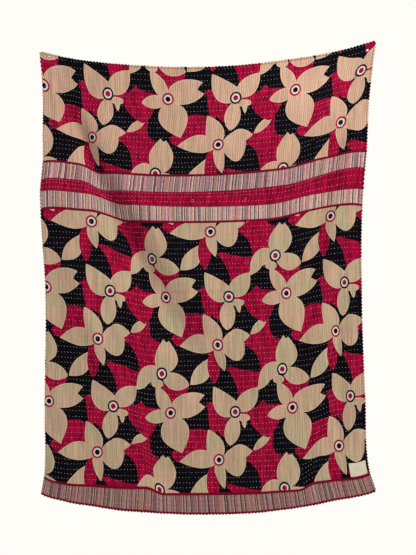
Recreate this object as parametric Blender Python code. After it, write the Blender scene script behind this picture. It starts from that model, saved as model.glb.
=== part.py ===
"""A kantha quilt that hangs from two pins, with its sewn-on label.

Metres, +Z up. The quilt hangs in front of the plane y = 0 and faces -Y. The origin is on that
plane, halfway between the two pins.

The cloth is worked out thread by thread: each weft thread is a curve between the two side
edges that sags in the middle, and the folds of FOLDS lift it forward or draw it back.
Threads keep their length, so the pattern closes up where a fold takes in cloth.
"""
import bmesh
import bpy
import numpy as np

# ---- driving dimensions ----------------------------------------------------------------

QUILT_WIDTH = 1.28
QUILT_LENGTH = 1.712
QUILT_THICKNESS = 0.0025
CLOTH_COLUMNS = 42
CLOTH_ROWS = 46

# Weft threads of the hung cloth: how far down the cloth each one lies, the places of its two
# ends, its sag, the drop of its stretch between drop_from and drop_to, where the cloth hangs
# lower between the two tension folds, half the widths of the two slopes to it, and the lift of
# its ends.
WEFT_THREADS = np.array([
    # the names of the columns stand below the table
    # top hem:
    (0.000, -0.649, 0.651, 0.012, 0.053, 0.096, 0.000, -0.500, 0.500, 0.036, 0.040, 0.000, 0.000),
    (0.114, -0.636, 0.634, -0.131, -0.067, 0.074, 0.008, -0.500, 0.470, 0.036, 0.050, 0.000, 0.000),
    (0.300, -0.628, 0.613, -0.297, -0.252, 0.065, 0.022, -0.470, 0.420, 0.032, 0.075, -0.010, -0.008),
    # first stripes:
    (0.420, -0.626, 0.605, -0.410, -0.370, 0.065, 0.020, -0.450, 0.380, 0.040, 0.100, -0.015, -0.015),
    # crimson band:
    (0.487, -0.633, 0.599, -0.475, -0.435, 0.060, 0.025, -0.440, 0.390, 0.040, 0.100, -0.020, -0.015),
    # second stripes:
    (0.543, -0.637, 0.593, -0.520, -0.515, 0.045, 0.030, -0.390, 0.340, 0.080, 0.120, -0.015, -0.010),
    (0.607, -0.635, 0.589, -0.590, -0.575, 0.040, 0.030, -0.370, 0.345, 0.080, 0.120, -0.015, -0.015),
    (0.896, -0.617, 0.586, -0.902, -0.877, 0.030, 0.022, -0.290, 0.390, 0.070, 0.100, 0.000, 0.000),
    (1.324, -0.619, 0.599, -1.334, -1.309, 0.038, 0.021, -0.265, 0.440, 0.050, 0.060, 0.000, 0.000),
    # bottom border:
    (1.633, -0.621, 0.618, -1.641, -1.624, 0.030, 0.024, -0.200, 0.380, 0.036, 0.036, 0.019, 0.016),
    # bottom hem:
    (QUILT_LENGTH, -0.630, 0.638, -1.693, -1.680, 0.078, 0.000, -0.200, 0.380, 0.036, 0.036, 0.011,
     0.009),
], dtype=[(name, float) for name in
          ("down", "left_x", "right_x", "left_z", "right_z", "sag", "drop", "drop_from", "drop_to",
           "slope_from", "slope_to", "left_lift", "right_lift")])
END_LIFT_REACH = 0.030

# Folds, as troughs (rise under 0) or ridges. Each runs from top_z to bottom_z, and its other
# columns give four stations spread evenly between these: where it is, how far it rises off
# the cloth and how wide it spreads.
FOLDS = np.array([
    # top_z  bottom_z   x, rise and spread at the four stations
    (-0.012, -1.450, (-0.616, -0.408, -0.170, 0.095), (-0.010, -0.043, -0.043, 0.000),
     (0.022, 0.032, 0.060, 0.080)),                    # left tension fold
    (-0.020, -1.480, (0.612, 0.447, 0.368, 0.245), (-0.010, -0.038, -0.032, -0.010),
     (0.022, 0.032, 0.042, 0.060)),                    # right tension fold
    (-0.160, -1.010, (-0.440, -0.330, -0.205, -0.080), (0.000, 0.010, 0.009, 0.000),
     (0.035, 0.045, 0.060, 0.070)),                    # ridge beside the left one
    (-0.750, -1.330, (-0.516, -0.471, -0.410, -0.364), (0.000, 0.015, 0.014, 0.000),
     (0.024, 0.026, 0.028, 0.030)),
    (-1.160, -1.730, (-0.590, -0.560, -0.530, -0.500), (0.000, 0.010, 0.013, 0.010),
     (0.026, 0.028, 0.032, 0.036)),
    (-0.750, -1.730, (0.512, 0.497, 0.497, 0.480), (0.000, -0.018, -0.018, -0.010),
     (0.022, 0.026, 0.028, 0.030)),
    (-1.160, -1.730, (-0.300, -0.310, -0.325, -0.330), (0.000, 0.005, 0.010, 0.013),
     (0.060, 0.065, 0.070, 0.070)),
    (-1.260, -1.730, (0.180, 0.200, 0.215, 0.225), (0.000, 0.005, 0.010, 0.013),
     (0.060, 0.065, 0.070, 0.070)),
], dtype=[("top_z", float), ("bottom_z", float), ("x", float, 4), ("rise", float, 4),
          ("spread", float, 4)])

# How far the middle of the cloth stands in front of the plane y = 0.
STAND_OFF_AT_PIN = 0.003
STAND_OFF = 0.048
BELLY = 0.014             # more between the tension folds, below the sagging top hem
BELLY_Z = -0.31
BELLY_HEIGHT = 0.30
BELLY_WIDTH = 0.26
CORNER_CURL = 0.016       # the bottom corners curl forward
CORNER_CURL_REACH = 0.060
FLAT_AT_PIN = 0.035       # the cloth is flat this far round a pin
FREE_OF_PIN = 0.400       # and hangs free this far from it

PIN_X = 0.6155
PIN_Z = 0.0120            # the right pin is this much above the origin, the left one below
PIN_HEAD_RADIUS = 0.006
PIN_HEAD_HEIGHT = 0.0035
PIN_SHANK_RADIUS = 0.0008
PIN_POINT_BACK = 0.009
PIN_POINT_LENGTH = 0.003
PIN_SEGMENTS = 24
PIN_DOME_STEPS = 6
PIN_HOLE_SEGMENTS = 12

LABEL_WIDTH = 0.066
LABEL_HEIGHT = 0.055
LABEL_THICKNESS = 0.0008
LABEL_FROM_SIDE = 0.010   # from the quilt's right edge
LABEL_ABOVE_BORDER = 0.009
BORDER_DOWN = 1.633

GAP = 0.0003              # between pieces that touch
PIN_HOLE_GAP = 0.0004
THREAD_SAMPLES = 400
ROUNDING = 1e-9

COLOURS = {               # base colour, roughness, metallic
    "printed_cotton": ((0.30, 0.03, 0.06, 1.0), 0.90, 0.0),
    "ecru_cotton": ((0.58, 0.49, 0.33, 1.0), 0.85, 0.0),
    "nickel_plated_steel": ((0.66, 0.66, 0.64, 1.0), 0.25, 1.0),
}


# ---- the hung cloth --------------------------------------------------------------------

def smooth_through(knots, values, at):
    """Read a smooth cubic curve through the values at the knots."""
    knots = np.asarray(knots, float)
    values = np.asarray(values, float)
    slopes = np.gradient(values, knots)
    low = np.clip(np.searchsorted(knots, at, side="right") - 1, 0, len(knots) - 2)
    span = knots[low + 1] - knots[low]
    t = (at - knots[low]) / span
    return ((2 * t**3 - 3 * t**2 + 1) * values[low] + (t**3 - 2 * t**2 + t) * span * slopes[low]
            + (3 * t**2 - 2 * t**3) * values[low + 1] + (t**3 - t**2) * span * slopes[low + 1])


def smooth_step(low, high, at):
    t = np.clip((at - low) / (high - low), 0.0, 1.0)
    return t * t * (3.0 - 2.0 * t)


def fold_section(fold, z):
    """Give a fold's place, rise and spread at height z."""
    station = np.clip((fold["top_z"] - z) / (fold["top_z"] - fold["bottom_z"]), 0.0, 1.0) * 3.0
    return [smooth_through(range(4), fold[column], station) for column in ("x", "rise", "spread")]


def stand_off(x, z):
    """How far the middle of the cloth is in front of the plane y = 0."""
    free = 1.0
    for side in (-1.0, 1.0):
        away = np.hypot(x - side * PIN_X, z - side * PIN_Z)
        free = free * smooth_step(FLAT_AT_PIN, FREE_OF_PIN, away)
    off = STAND_OFF + BELLY * np.exp(-(x / BELLY_WIDTH)**2 - ((z - BELLY_Z) / BELLY_HEIGHT)**2)
    for fold in FOLDS:
        fold_x, rise, spread = fold_section(fold, z)
        off = off + rise * np.exp(-0.5 * ((x - fold_x) / spread)**2)
    hem = WEFT_THREADS[-1]
    for corner_x, corner_z in ((hem["left_x"], hem["left_z"]), (hem["right_x"], hem["right_z"])):
        away = np.hypot(x - corner_x, z - corner_z)
        off = off + CORNER_CURL * np.exp(-(away / CORNER_CURL_REACH)**2)
    return STAND_OFF_AT_PIN + free * off


def weft_thread(down):
    """Give the points of the weft thread that lies down metres from the top hem."""
    thread = {name: smooth_through(WEFT_THREADS["down"], WEFT_THREADS[name], down)
              for name in WEFT_THREADS.dtype.names}
    fraction = np.linspace(0.0, 1.0, THREAD_SAMPLES)
    x = thread["left_x"] + (thread["right_x"] - thread["left_x"]) * fraction
    z = thread["left_z"] + (thread["right_z"] - thread["left_z"]) * fraction
    dropped = (smooth_step(-thread["slope_from"], thread["slope_from"], x - thread["drop_from"])
               * smooth_step(-thread["slope_to"], thread["slope_to"], thread["drop_to"] - x))
    z = (z - thread["sag"] * 4.0 * fraction * (1.0 - fraction) - thread["drop"] * dropped
         + thread["left_lift"] * np.exp(-(x - thread["left_x"]) / END_LIFT_REACH)
         + thread["right_lift"] * np.exp(-(thread["right_x"] - x) / END_LIFT_REACH))
    return np.stack([x, -stand_off(x, z), z], axis=1)


def cloth_grid(across, down):
    """Give the cloth's middle surface at each across (0 to 1) and down (metres)."""
    grid = np.empty((len(down), len(across), 3))
    for row, thread_down in enumerate(down):
        thread = weft_thread(thread_down)
        length = np.concatenate([[0.0], np.cumsum(np.linalg.norm(np.diff(thread, axis=0), axis=1))])
        for axis in range(3):
            grid[row, :, axis] = np.interp(np.asarray(across) * length[-1], length, thread[:, axis])
    return grid


def stations(length, count, through):
    """Even stations along a length, the nearest ones moved onto the places in through."""
    places = np.linspace(0.0, length, count + 1)
    for place in through:
        places[np.argmin(abs(places - place))] = place
    return places


# ---- meshes and materials --------------------------------------------------------------

def material(name):
    colour, roughness, metallic = COLOURS[name]
    made = bpy.data.materials.new(name)
    made.use_nodes = True
    shader = made.node_tree.nodes["Principled BSDF"]
    shader.inputs["Base Color"].default_value = colour
    shader.inputs["Roughness"].default_value = roughness
    shader.inputs["Metallic"].default_value = metallic
    return made


def add_object(name, mesh, finish=None):
    thing = bpy.data.objects.new(name, mesh)
    bpy.context.collection.objects.link(thing)
    if finish:
        mesh.materials.append(material(finish))
    return thing


def sheet_mesh(name, grid, turn_at):
    """Turn rows of points into triangles that face the viewer.

    Cells are split along the folds: down to the right before column turn_at, then to the left.
    """
    rows, columns, _ = grid.shape
    faces = []
    for row in range(rows - 1):
        for column in range(columns - 1):
            upper_left = row * columns + column
            lower_left = upper_left + columns
            if column < turn_at:
                faces.append((upper_left, lower_left, lower_left + 1))
                faces.append((upper_left, lower_left + 1, upper_left + 1))
            else:
                faces.append((upper_left, lower_left, upper_left + 1))
                faces.append((lower_left, lower_left + 1, upper_left + 1))
    mesh = bpy.data.meshes.new(name)
    mesh.from_pydata(grid.reshape(-1, 3).tolist(), [], faces)
    return mesh


def turned_mesh(name, profile, segments):
    """Turn a profile of (radius, y) round the Y axis into one closed body."""
    shape = bmesh.new()
    points = [shape.verts.new((radius, y, 0.0)) for radius, y in profile]
    edges = [shape.edges.new(pair) for pair in zip(points, points[1:])]
    bmesh.ops.spin(shape, geom=points + edges, cent=(0, 0, 0), axis=(0, 1, 0),
                   angle=2.0 * np.pi, steps=segments, use_merge=True)
    bmesh.ops.remove_doubles(shape, verts=shape.verts, dist=1e-6)
    bmesh.ops.recalc_face_normals(shape, faces=shape.faces)
    mesh = bpy.data.meshes.new(name)
    shape.to_mesh(mesh)
    shape.free()
    mesh.shade_smooth()
    mesh.set_sharp_from_angle(angle=np.radians(40))
    return mesh


def thicken(thing, thickness):
    """Give a sheet its thickness, half of it to each side."""
    solidify = thing.modifiers.new("thickness", "SOLIDIFY")
    solidify.thickness = thickness
    solidify.offset = 0.0
    solidify.use_even_offset = True


# ---- the pieces ------------------------------------------------------------------------

def label_span():
    """Where the label lies: across the cloth and down it, in metres."""
    right = QUILT_WIDTH - LABEL_FROM_SIDE
    bottom = BORDER_DOWN - LABEL_ABOVE_BORDER
    return (right - LABEL_WIDTH, right), (bottom - LABEL_HEIGHT, bottom)


def build_quilt_and_label():
    """Make the layered cloth, and the label that lies on its front near the lower right corner."""
    label_across, label_down = label_span()
    across = stations(QUILT_WIDTH, CLOTH_COLUMNS, label_across)
    down = stations(QUILT_LENGTH, CLOTH_ROWS, label_down)
    grid = cloth_grid(across / QUILT_WIDTH, down)
    quilt_mesh = sheet_mesh("quilt", grid, CLOTH_COLUMNS // 2)
    quilt = add_object("quilt", quilt_mesh, "printed_cotton")
    thicken(quilt, QUILT_THICKNESS)

    # The label's corners lie over the cloth's own, so that the two stay apart everywhere.
    normals = np.empty(len(quilt_mesh.vertices) * 3, dtype=np.float32)
    quilt_mesh.vertex_normals.foreach_get("vector", normals)
    above_middle = QUILT_THICKNESS / 2 + GAP + LABEL_THICKNESS / 2
    lifted = grid + normals.reshape(grid.shape) * above_middle
    patch = lifted[covered(down, label_down)][:, covered(across, label_across)]
    label = add_object("label", sheet_mesh("label", patch, 0), "ecru_cotton")
    thicken(label, LABEL_THICKNESS)
    return quilt


def covered(places, span):
    """Which stations lie in a span, its two ends among them."""
    return (places >= span[0] - ROUNDING) & (places <= span[1] + ROUNDING)


def pin_profile(cloth_front_y):
    """Domed head, flat underneath, with a shank through the cloth and a point behind it."""
    head_back = cloth_front_y - GAP
    profile = [(0.0, head_back - PIN_HEAD_HEIGHT)]
    for step in range(1, PIN_DOME_STEPS + 1):
        turn = 0.5 * np.pi * step / PIN_DOME_STEPS
        profile.append((PIN_HEAD_RADIUS * np.sin(turn), head_back - PIN_HEAD_HEIGHT * np.cos(turn)))
    profile += [
        (PIN_SHANK_RADIUS, head_back),
        (PIN_SHANK_RADIUS, PIN_POINT_BACK - PIN_POINT_LENGTH),
        (0.0, PIN_POINT_BACK),
    ]
    return profile


def build_pin(name, side, quilt):
    """Make one pin, and the hole that it makes in the cloth."""
    cloth_front_y = -(STAND_OFF_AT_PIN + QUILT_THICKNESS / 2)
    place = (side * PIN_X, 0.0, side * PIN_Z)
    pin = add_object(name, turned_mesh(name, pin_profile(cloth_front_y), PIN_SEGMENTS),
                     "nickel_plated_steel")
    pin.location = place

    reach = 3.0 * (STAND_OFF_AT_PIN + QUILT_THICKNESS)
    hole_radius = PIN_SHANK_RADIUS + PIN_HOLE_GAP
    hole_profile = [(0.0, -reach), (hole_radius, -reach), (hole_radius, reach), (0.0, reach)]
    hole = turned_mesh(name + "_hole", hole_profile, PIN_HOLE_SEGMENTS)
    cutter = add_object(name + "_hole_cutter", hole)
    cutter.location = place
    cutter.hide_render = True
    cutter.display_type = "WIRE"
    cut = quilt.modifiers.new(name + "_hole", "BOOLEAN")
    cut.operation = "DIFFERENCE"
    cut.solver = "EXACT"
    cut.object = cutter


def main():
    for old in list(bpy.data.objects):
        bpy.data.objects.remove(old, do_unlink=True)
    quilt = build_quilt_and_label()
    build_pin("pin_left", -1.0, quilt)
    build_pin("pin_right", 1.0, quilt)


main()
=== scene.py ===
"""Looks of a kantha quilt that hangs from two pins, laid out as a Blender add-on.

Metres, +Z up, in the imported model's frame: the quilt hangs in front of the plane y = 0 and faces -Y.
The printed pattern is worked out in millimetres on the flat cloth, across from its left edge
and down from its top hem.
"""

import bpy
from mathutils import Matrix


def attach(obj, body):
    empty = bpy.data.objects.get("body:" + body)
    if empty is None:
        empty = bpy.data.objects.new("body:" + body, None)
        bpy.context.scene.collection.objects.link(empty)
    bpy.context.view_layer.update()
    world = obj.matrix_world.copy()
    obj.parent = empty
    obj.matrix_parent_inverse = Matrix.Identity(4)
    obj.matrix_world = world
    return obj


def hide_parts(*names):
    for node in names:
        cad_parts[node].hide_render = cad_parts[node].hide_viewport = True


bl_info = {
    "name": "Kantha quilt",
    "version": (1, 0, 0),
    "blender": (4, 5, 0),
    "location": "View3D > Sidebar > Kantha quilt",
    "description": "Sews a hand-stitched kantha quilt, with its print, stitches, hem, label and pins",
    "category": "Object",
}

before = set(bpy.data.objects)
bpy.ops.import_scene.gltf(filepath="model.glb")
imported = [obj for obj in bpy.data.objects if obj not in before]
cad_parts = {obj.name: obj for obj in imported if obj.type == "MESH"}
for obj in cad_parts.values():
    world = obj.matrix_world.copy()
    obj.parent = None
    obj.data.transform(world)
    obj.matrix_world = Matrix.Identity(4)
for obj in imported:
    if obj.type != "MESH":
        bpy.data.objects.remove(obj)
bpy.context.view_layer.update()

import functools

import bmesh
import bpy
import numpy as np
from mathutils import Vector

MM = 0.001

# ---- the hung cloth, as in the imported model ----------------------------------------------

QUILT_WIDTH = 1.28
QUILT_LENGTH = 1.712
QUILT_THICKNESS = 0.0025

# Weft threads of the hung cloth: how far down the cloth each one lies, the places of its two
# ends, its sag, the drop of its stretch between drop_from and drop_to, where the cloth hangs
# lower between the two tension folds, half the widths of the two slopes to it, and the lift of
# its ends.
WEFT_THREADS = np.array([
    # the names of the columns stand below the table
    # top hem:
    (0.000, -0.649, 0.651, 0.012, 0.053, 0.096, 0.000, -0.500, 0.500, 0.036, 0.040, 0.000, 0.000),
    (0.114, -0.636, 0.634, -0.131, -0.067, 0.074, 0.008, -0.500, 0.470, 0.036, 0.050, 0.000, 0.000),
    (0.300, -0.628, 0.613, -0.297, -0.252, 0.065, 0.022, -0.470, 0.420, 0.032, 0.075, -0.010, -0.008),
    # first stripes:
    (0.420, -0.626, 0.605, -0.410, -0.370, 0.065, 0.020, -0.450, 0.380, 0.040, 0.100, -0.015, -0.015),
    # crimson band:
    (0.487, -0.633, 0.599, -0.475, -0.435, 0.060, 0.025, -0.440, 0.390, 0.040, 0.100, -0.020, -0.015),
    # second stripes:
    (0.543, -0.637, 0.593, -0.520, -0.515, 0.045, 0.030, -0.390, 0.340, 0.080, 0.120, -0.015, -0.010),
    (0.607, -0.635, 0.589, -0.590, -0.575, 0.040, 0.030, -0.370, 0.345, 0.080, 0.120, -0.015, -0.015),
    (0.896, -0.617, 0.586, -0.902, -0.877, 0.030, 0.022, -0.290, 0.390, 0.070, 0.100, 0.000, 0.000),
    (1.324, -0.619, 0.599, -1.334, -1.309, 0.038, 0.021, -0.265, 0.440, 0.050, 0.060, 0.000, 0.000),
    # bottom border:
    (1.633, -0.621, 0.618, -1.641, -1.624, 0.030, 0.024, -0.200, 0.380, 0.036, 0.036, 0.019, 0.016),
    # bottom hem:
    (QUILT_LENGTH, -0.630, 0.638, -1.693, -1.680, 0.078, 0.000, -0.200, 0.380, 0.036, 0.036, 0.011,
     0.009),
], dtype=[(name, float) for name in
          ("down", "left_x", "right_x", "left_z", "right_z", "sag", "drop", "drop_from", "drop_to",
           "slope_from", "slope_to", "left_lift", "right_lift")])
END_LIFT_REACH = 0.030
THREAD_SAMPLES = 400

# Folds, as troughs (rise under 0) or ridges, each with four stations spread evenly from top_z
# to bottom_z.
FOLDS = np.array([
    # top_z  bottom_z   x, rise and spread at the four stations
    (-0.012, -1.450, (-0.616, -0.408, -0.170, 0.095), (-0.010, -0.043, -0.043, 0.000),
     (0.022, 0.032, 0.060, 0.080)),                    # left tension fold
    (-0.020, -1.480, (0.612, 0.447, 0.368, 0.245), (-0.010, -0.038, -0.032, -0.010),
     (0.022, 0.032, 0.042, 0.060)),                    # right tension fold
    (-0.160, -1.010, (-0.440, -0.330, -0.205, -0.080), (0.000, 0.010, 0.009, 0.000),
     (0.035, 0.045, 0.060, 0.070)),                    # ridge beside the left one
    (-0.750, -1.330, (-0.516, -0.471, -0.410, -0.364), (0.000, 0.015, 0.014, 0.000),
     (0.024, 0.026, 0.028, 0.030)),
    (-1.160, -1.730, (-0.590, -0.560, -0.530, -0.500), (0.000, 0.010, 0.013, 0.010),
     (0.026, 0.028, 0.032, 0.036)),
    (-0.750, -1.730, (0.512, 0.497, 0.497, 0.480), (0.000, -0.018, -0.018, -0.010),
     (0.022, 0.026, 0.028, 0.030)),
    (-1.160, -1.730, (-0.300, -0.310, -0.325, -0.330), (0.000, 0.005, 0.010, 0.013),
     (0.060, 0.065, 0.070, 0.070)),
    (-1.260, -1.730, (0.180, 0.200, 0.215, 0.225), (0.000, 0.005, 0.010, 0.013),
     (0.060, 0.065, 0.070, 0.070)),
], dtype=[("top_z", float), ("bottom_z", float), ("x", float, 4), ("rise", float, 4),
          ("spread", float, 4)])

STAND_OFF_AT_PIN = 0.003
STAND_OFF = 0.048
BELLY = 0.014
BELLY_Z = -0.31
BELLY_HEIGHT = 0.30
BELLY_WIDTH = 0.26
CORNER_CURL = 0.016
CORNER_CURL_REACH = 0.060
FLAT_AT_PIN = 0.035
FREE_OF_PIN = 0.400

PIN_X = 0.6155
PIN_Z = 0.0120
PIN_HEAD_RADIUS = 0.006
PIN_HEAD_HEIGHT = 0.0035
PIN_SHANK_RADIUS = 0.0008
PIN_POINT_BACK = 0.009
PIN_POINT_LENGTH = 0.003
PIN_GAP = 0.0003

LABEL_WIDTH = 0.066
LABEL_HEIGHT = 0.055
LABEL_THICKNESS = 0.0008
LABEL_FROM_SIDE = 0.010
LABEL_ABOVE_BORDER = 0.009
LABEL_GAP = 0.0003

# Where the bands begin and end down the cloth.
BAND_TOP = 0.420
CRIMSON_TOP = 0.487
CRIMSON_BOTTOM = 0.543
BAND_BOTTOM = 0.607
BORDER_DOWN = 1.633

# ---- the print, in millimetres -----------------------------------------------------------

REPEAT_WIDTH = 482.5
REPEAT_HEIGHT = 427.0
REPEAT_ACROSS = 12.0             # the first flower of a repeat, from the quilt's left edge
UPPER_REPEAT_DOWN = 114.0        # and down from its top hem, above the bands
LOWER_REPEAT_DOWN = 897.0        # and below them

FLOWERS = {                      # centre in the repeat, and whether its ring is dark
    "first": (0.0, 0.0, False),
    "second": (254.5, 1.0, True),
    "third": (192.0, 179.0, False),
    "fourth": (441.5, 282.0, True),
}
RING_RADIUS = 22.5
EYE_RADIUS = 15.8
DOT_RADIUS = 9.8
RING_SHAPE = (1.02, 0.97, 1.0)   # the rings are a little taller than wide
HALF_REPEAT = (REPEAT_WIDTH / 2, REPEAT_HEIGHT / 2, 1.0)

# How far the print lies from its even repeat, since the cloth was pulled as it was sewn: how far
# down the cloth, or across it, and the slip there.
SLIP_ACROSS = ((0, -6), (110, -6), (290, 3), (420, 3), (607, -9), (760, -12), (900, -8), (1075, 6),
               (1180, 11), (1323, 6), (1500, 4), (1712, 1))
SLIP_DOWN = ((0, 0), (330, 0), (415, 16), (500, 0), (1540, 0), (1620, 13), (1712, 13))
SLIP_DOWN_ABOVE = ((0, -6), (260, -10), (480, 3), (700, 9), (960, 6), (1170, 0), (1235, -14),
                   (1280, -16))
SLIP_AT_RIGHT = ((0, 10), (110, 10), (420, 3), (650, -8), (1320, -18), (1500, -5), (1712, 0))
SLIP_RANGE = 40.0
PRINT_WANDER = 2.6               # of its edges, from one side to the other
RIGHT_SIDE = (1160.0, 1235.0)    # where the slip at the right edge begins, and is whole

LEAF_COLUMNS = ("flower", "x", "y", "heading", "length", "half_width", "bend", "fullness", "taper")

# Every petal and leaf grows from x, y beside its flower's centre, on a heading in degrees
# clockwise from up. Bend moves its middle to the right of the heading. Under 1, fullness and
# taper make its foot and its tip blunt. Most sizes are rounded to 5 mm.
CREAM_PETALS = (
    ("first",  -10, -10, 330, 105, 25,   0, 0.5, 0.9),
    ("first",    0, -10,  75, 150, 45,   0, 0.5, 0.6),
    ("first",    0,   5, 260, 100, 25,   0, 0.8, 0.8),
    ("first",   -5,   5, 160, 155, 55,   0, 0.9, 1.1),
    ("second",  10,   5, 315, 140, 40, -15, 0.5, 0.9),
    ("second",   5,  -5,  45, 115, 35,   5, 0.7, 0.9),
    ("second",   0,  10, 190, 115, 30,   0, 0.8, 0.7),
    ("second",  12,  21,  94,  47, 13,   0, 0.25, 0.35),
    ("second",  34,  14, 176,  47, 11,   0, 0.15, 0.55),
    ("third",  -10,   5, 345, 125, 35,  10, 0.5, 0.9),
    ("third",    0,   5, 270, 155, 35,  10, 0.9, 1.1),
    ("third",    5,   5,  90, 100, 55,   0, 0.9, 0.5),
    ("third",   48, -22,  84,  82, 28,  -4, 0.5, 0.9),
    ("third",   -5,  10, 165,  90, 20,   0, 0.5, 0.9),
    ("fourth",  10,   0,   5, 135, 45,   5, 0.7, 1.1),
    ("fourth",   0,   5, 110, 115, 30,   5, 0.8, 0.8),
    ("fourth",   0, -15, 235, 120, 30,  15, 0.5, 0.8),
    ("fourth", -60,  20, 225,  70, 15,  -5, 0.2, 0.8),
    ("fourth",   5,  40, 280,  45, 15,   0, 0.4, 0.4),
)
PETAL_NOTCHES = (
    ("first",  158, -46, 261,  49, 28,   0, 0.25, 1.00),
    ("fourth",  29, -140, 188, 28, 18,   0, 0.30, 1.00),
)
CREAM_LEAVES = (                 # partly under the crimson leaves
    ("third", -120, 145,  40, 130, 30,  10, 1.0, 1.2),
    ("third",  135, -35,  50,  90, 15,   0, 0.8, 0.8),
)
CRIMSON_GROUND = (
    ("third",  158, 114,  12, 218, 86,   0, 0.30, 0.85),
    ("third",  158,  30, 205, 218, 75,  15, 0.40, 0.90),
    ("third",  160, 136, 290, 150, 30,  -6, 0.30, 0.75),
)
DARK_LEAVES = (
    ("second",   5, -15, 340, 160, 55, -30, 0.8, 0.8),
    ("third",   25,  50, 110, 145, 45, -25, 0.5, 0.7),
    ("first",   -4,  23, 189, 148, 60,   0, 0.35, 0.22),
)
CRIMSON_LEAVES = (
    ("second", -100, -38, 172, 125, 13,  0, 0.30, 0.30),
    ("second", -85, -30, 157, 137, 32,   0, 0.60, 0.85),
    ("second", -121, -24, 78,  50,  9,   2, 0.80, 0.50),
    ("second", 114, -20, 172, 123, 60,   0, 0.40, 0.80),
    ("second", 109, -42, 176,  60, 52,   0, 1.60, 0.30),
    ("second", 112, -12,  91, 118,  8,   0, 0.30, 0.70),
    ("second",  14,   6,  92,  80, 24,   0, 0.50, 0.50),
    ("third",  -25,  15, 180, 130, 25,   0, 0.8, 0.8),
    ("third",  -32, -72, 265, 135, 52,   0, 0.25, 0.30),
    ("third", -103, -13, 278,  82, 24,  -2, 0.50, 0.50),
    ("first",    4, -23,   7, 105, 52,   0, 0.70, 0.30),
)

# ---- the striped cloth, in millimetres ---------------------------------------------------

WARP_COLOURS = {
    "rose": "C08896", "sand": "CFA49A", "mauve": "A67386", "salmon": "C8868A", "pale grey": "938488",
    "pale sand": "DAB6AA", "dusty pink": "BC7C90", "tan": "A87A70", "slate": "7E7A80",
    "pink": "D2949C", "khaki": "A58C86", "pale rose": "CCA2A6", "plum": "8C6678", "blush": "C2959A",
}
WARP_WANDER = 1.3
# Each band and the border are cut from another part of the striped cloth: the place down, 20 mm
# above its top, that this part is used from, and how much farther across its stripes are read.
STRIPE_SHIFTS = ((1000.0 * CRIMSON_BOTTOM - 20.0, 431.0), (1000.0 * BORDER_DOWN - 20.0, 377.0))
LINE_SPACING = 23.0              # from one dark line to the next, with a pale one beside each
LINE_HALF_WIDTH = 1.5
PALE_LINE_AT = -3.6
PALE_WARP = "E2C4B0"
DARK_WARP = "3F363E"
LOWER_BAND_TINT = "CCD2C6"
BORDER_TINT = "CEC2C2"
FADED_BACKING = "B0707C"

RIB_PITCH = 8.0
SCALLOP_PITCH = 6.4              # of the overcast stitches along a seam
SEAM_LINES = (                   # how far down in metres, and half its maroon piping's width in mm
    (BAND_TOP, 4.0),
    (BAND_BOTTOM, 4.0),
    (BORDER_DOWN, 4.6),
    (QUILT_LENGTH, 8.5),
)

# ---- small creases and wrinkles ----------------------------------------------------------

WRINKLES = np.array([
    # across  down  heading length half_width  rise
    (0.655, 0.860,   1.0, 1.900, 0.0050,  0.0016),   # folded away for years down its middle
    (0.662, 0.860,   1.0, 1.900, 0.0060, -0.0012),
    (0.620, 0.866,  90.0, 0.900, 0.0060,  0.0013),   # and across
    (0.620, 0.877,  90.0, 0.900, 0.0070, -0.0014),
    (0.760, 0.428,  92.0, 0.100, 0.0045,  0.0022),   # pucker under the first seam
    (0.760, 0.437,  92.0, 0.100, 0.0045, -0.0012),
    (0.940, 1.160, 155.0, 0.110, 0.0060,  0.0016),
    (0.975, 1.175, 150.0, 0.090, 0.0060,  0.0014),
    (0.870, 1.150,  20.0, 0.080, 0.0060, -0.0012),
    (0.530, 1.000, 170.0, 0.120, 0.0060,  0.0013),
    (0.555, 1.060,   5.0, 0.160, 0.0070, -0.0012),
    (0.350, 0.960, 160.0, 0.140, 0.0070,  0.0012),
    (0.030, 0.230, 178.0, 0.360, 0.0065, -0.0024),   # below the left pin
    (0.048, 0.180, 176.0, 0.260, 0.0060,  0.0018),
    (0.080, 0.140, 140.0, 0.160, 0.0070,  0.0014),
    (1.215, 0.150, 205.0, 0.220, 0.0070, -0.0016),   # below the right pin
    (1.195, 0.170, 210.0, 0.220, 0.0070,  0.0016),
    (1.225, 0.600, 100.0, 0.110, 0.0080,  0.0026),   # fold beside the right edge
    (0.985, 0.520, 176.0, 0.190, 0.0080,  0.0024),   # upright fold across the bands
    (0.968, 0.520, 176.0, 0.190, 0.0080, -0.0018),
    (1.090, 0.560, 120.0, 0.140, 0.0080,  0.0016),
    (0.300, 0.520,  15.0, 0.200, 0.0090, -0.0018),
    (0.325, 0.530,  15.0, 0.200, 0.0090,  0.0018),
    (0.300, 0.720, 165.0, 0.220, 0.0100,  0.0022),
    (0.275, 0.720, 165.0, 0.220, 0.0100, -0.0018),
    (0.350, 0.790, 150.0, 0.120, 0.0080,  0.0016),
    (1.180, 1.250,  12.0, 0.240, 0.0080,  0.0015),
    (0.200, 1.420,  25.0, 0.200, 0.0090,  0.0014),
    (0.820, 1.500, 100.0, 0.260, 0.0080,  0.0012),
    (0.410, 1.560,  85.0, 0.220, 0.0080,  0.0012),
], dtype=[(name, float) for name in ("across", "down", "heading", "length", "half_width", "rise")])

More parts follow.
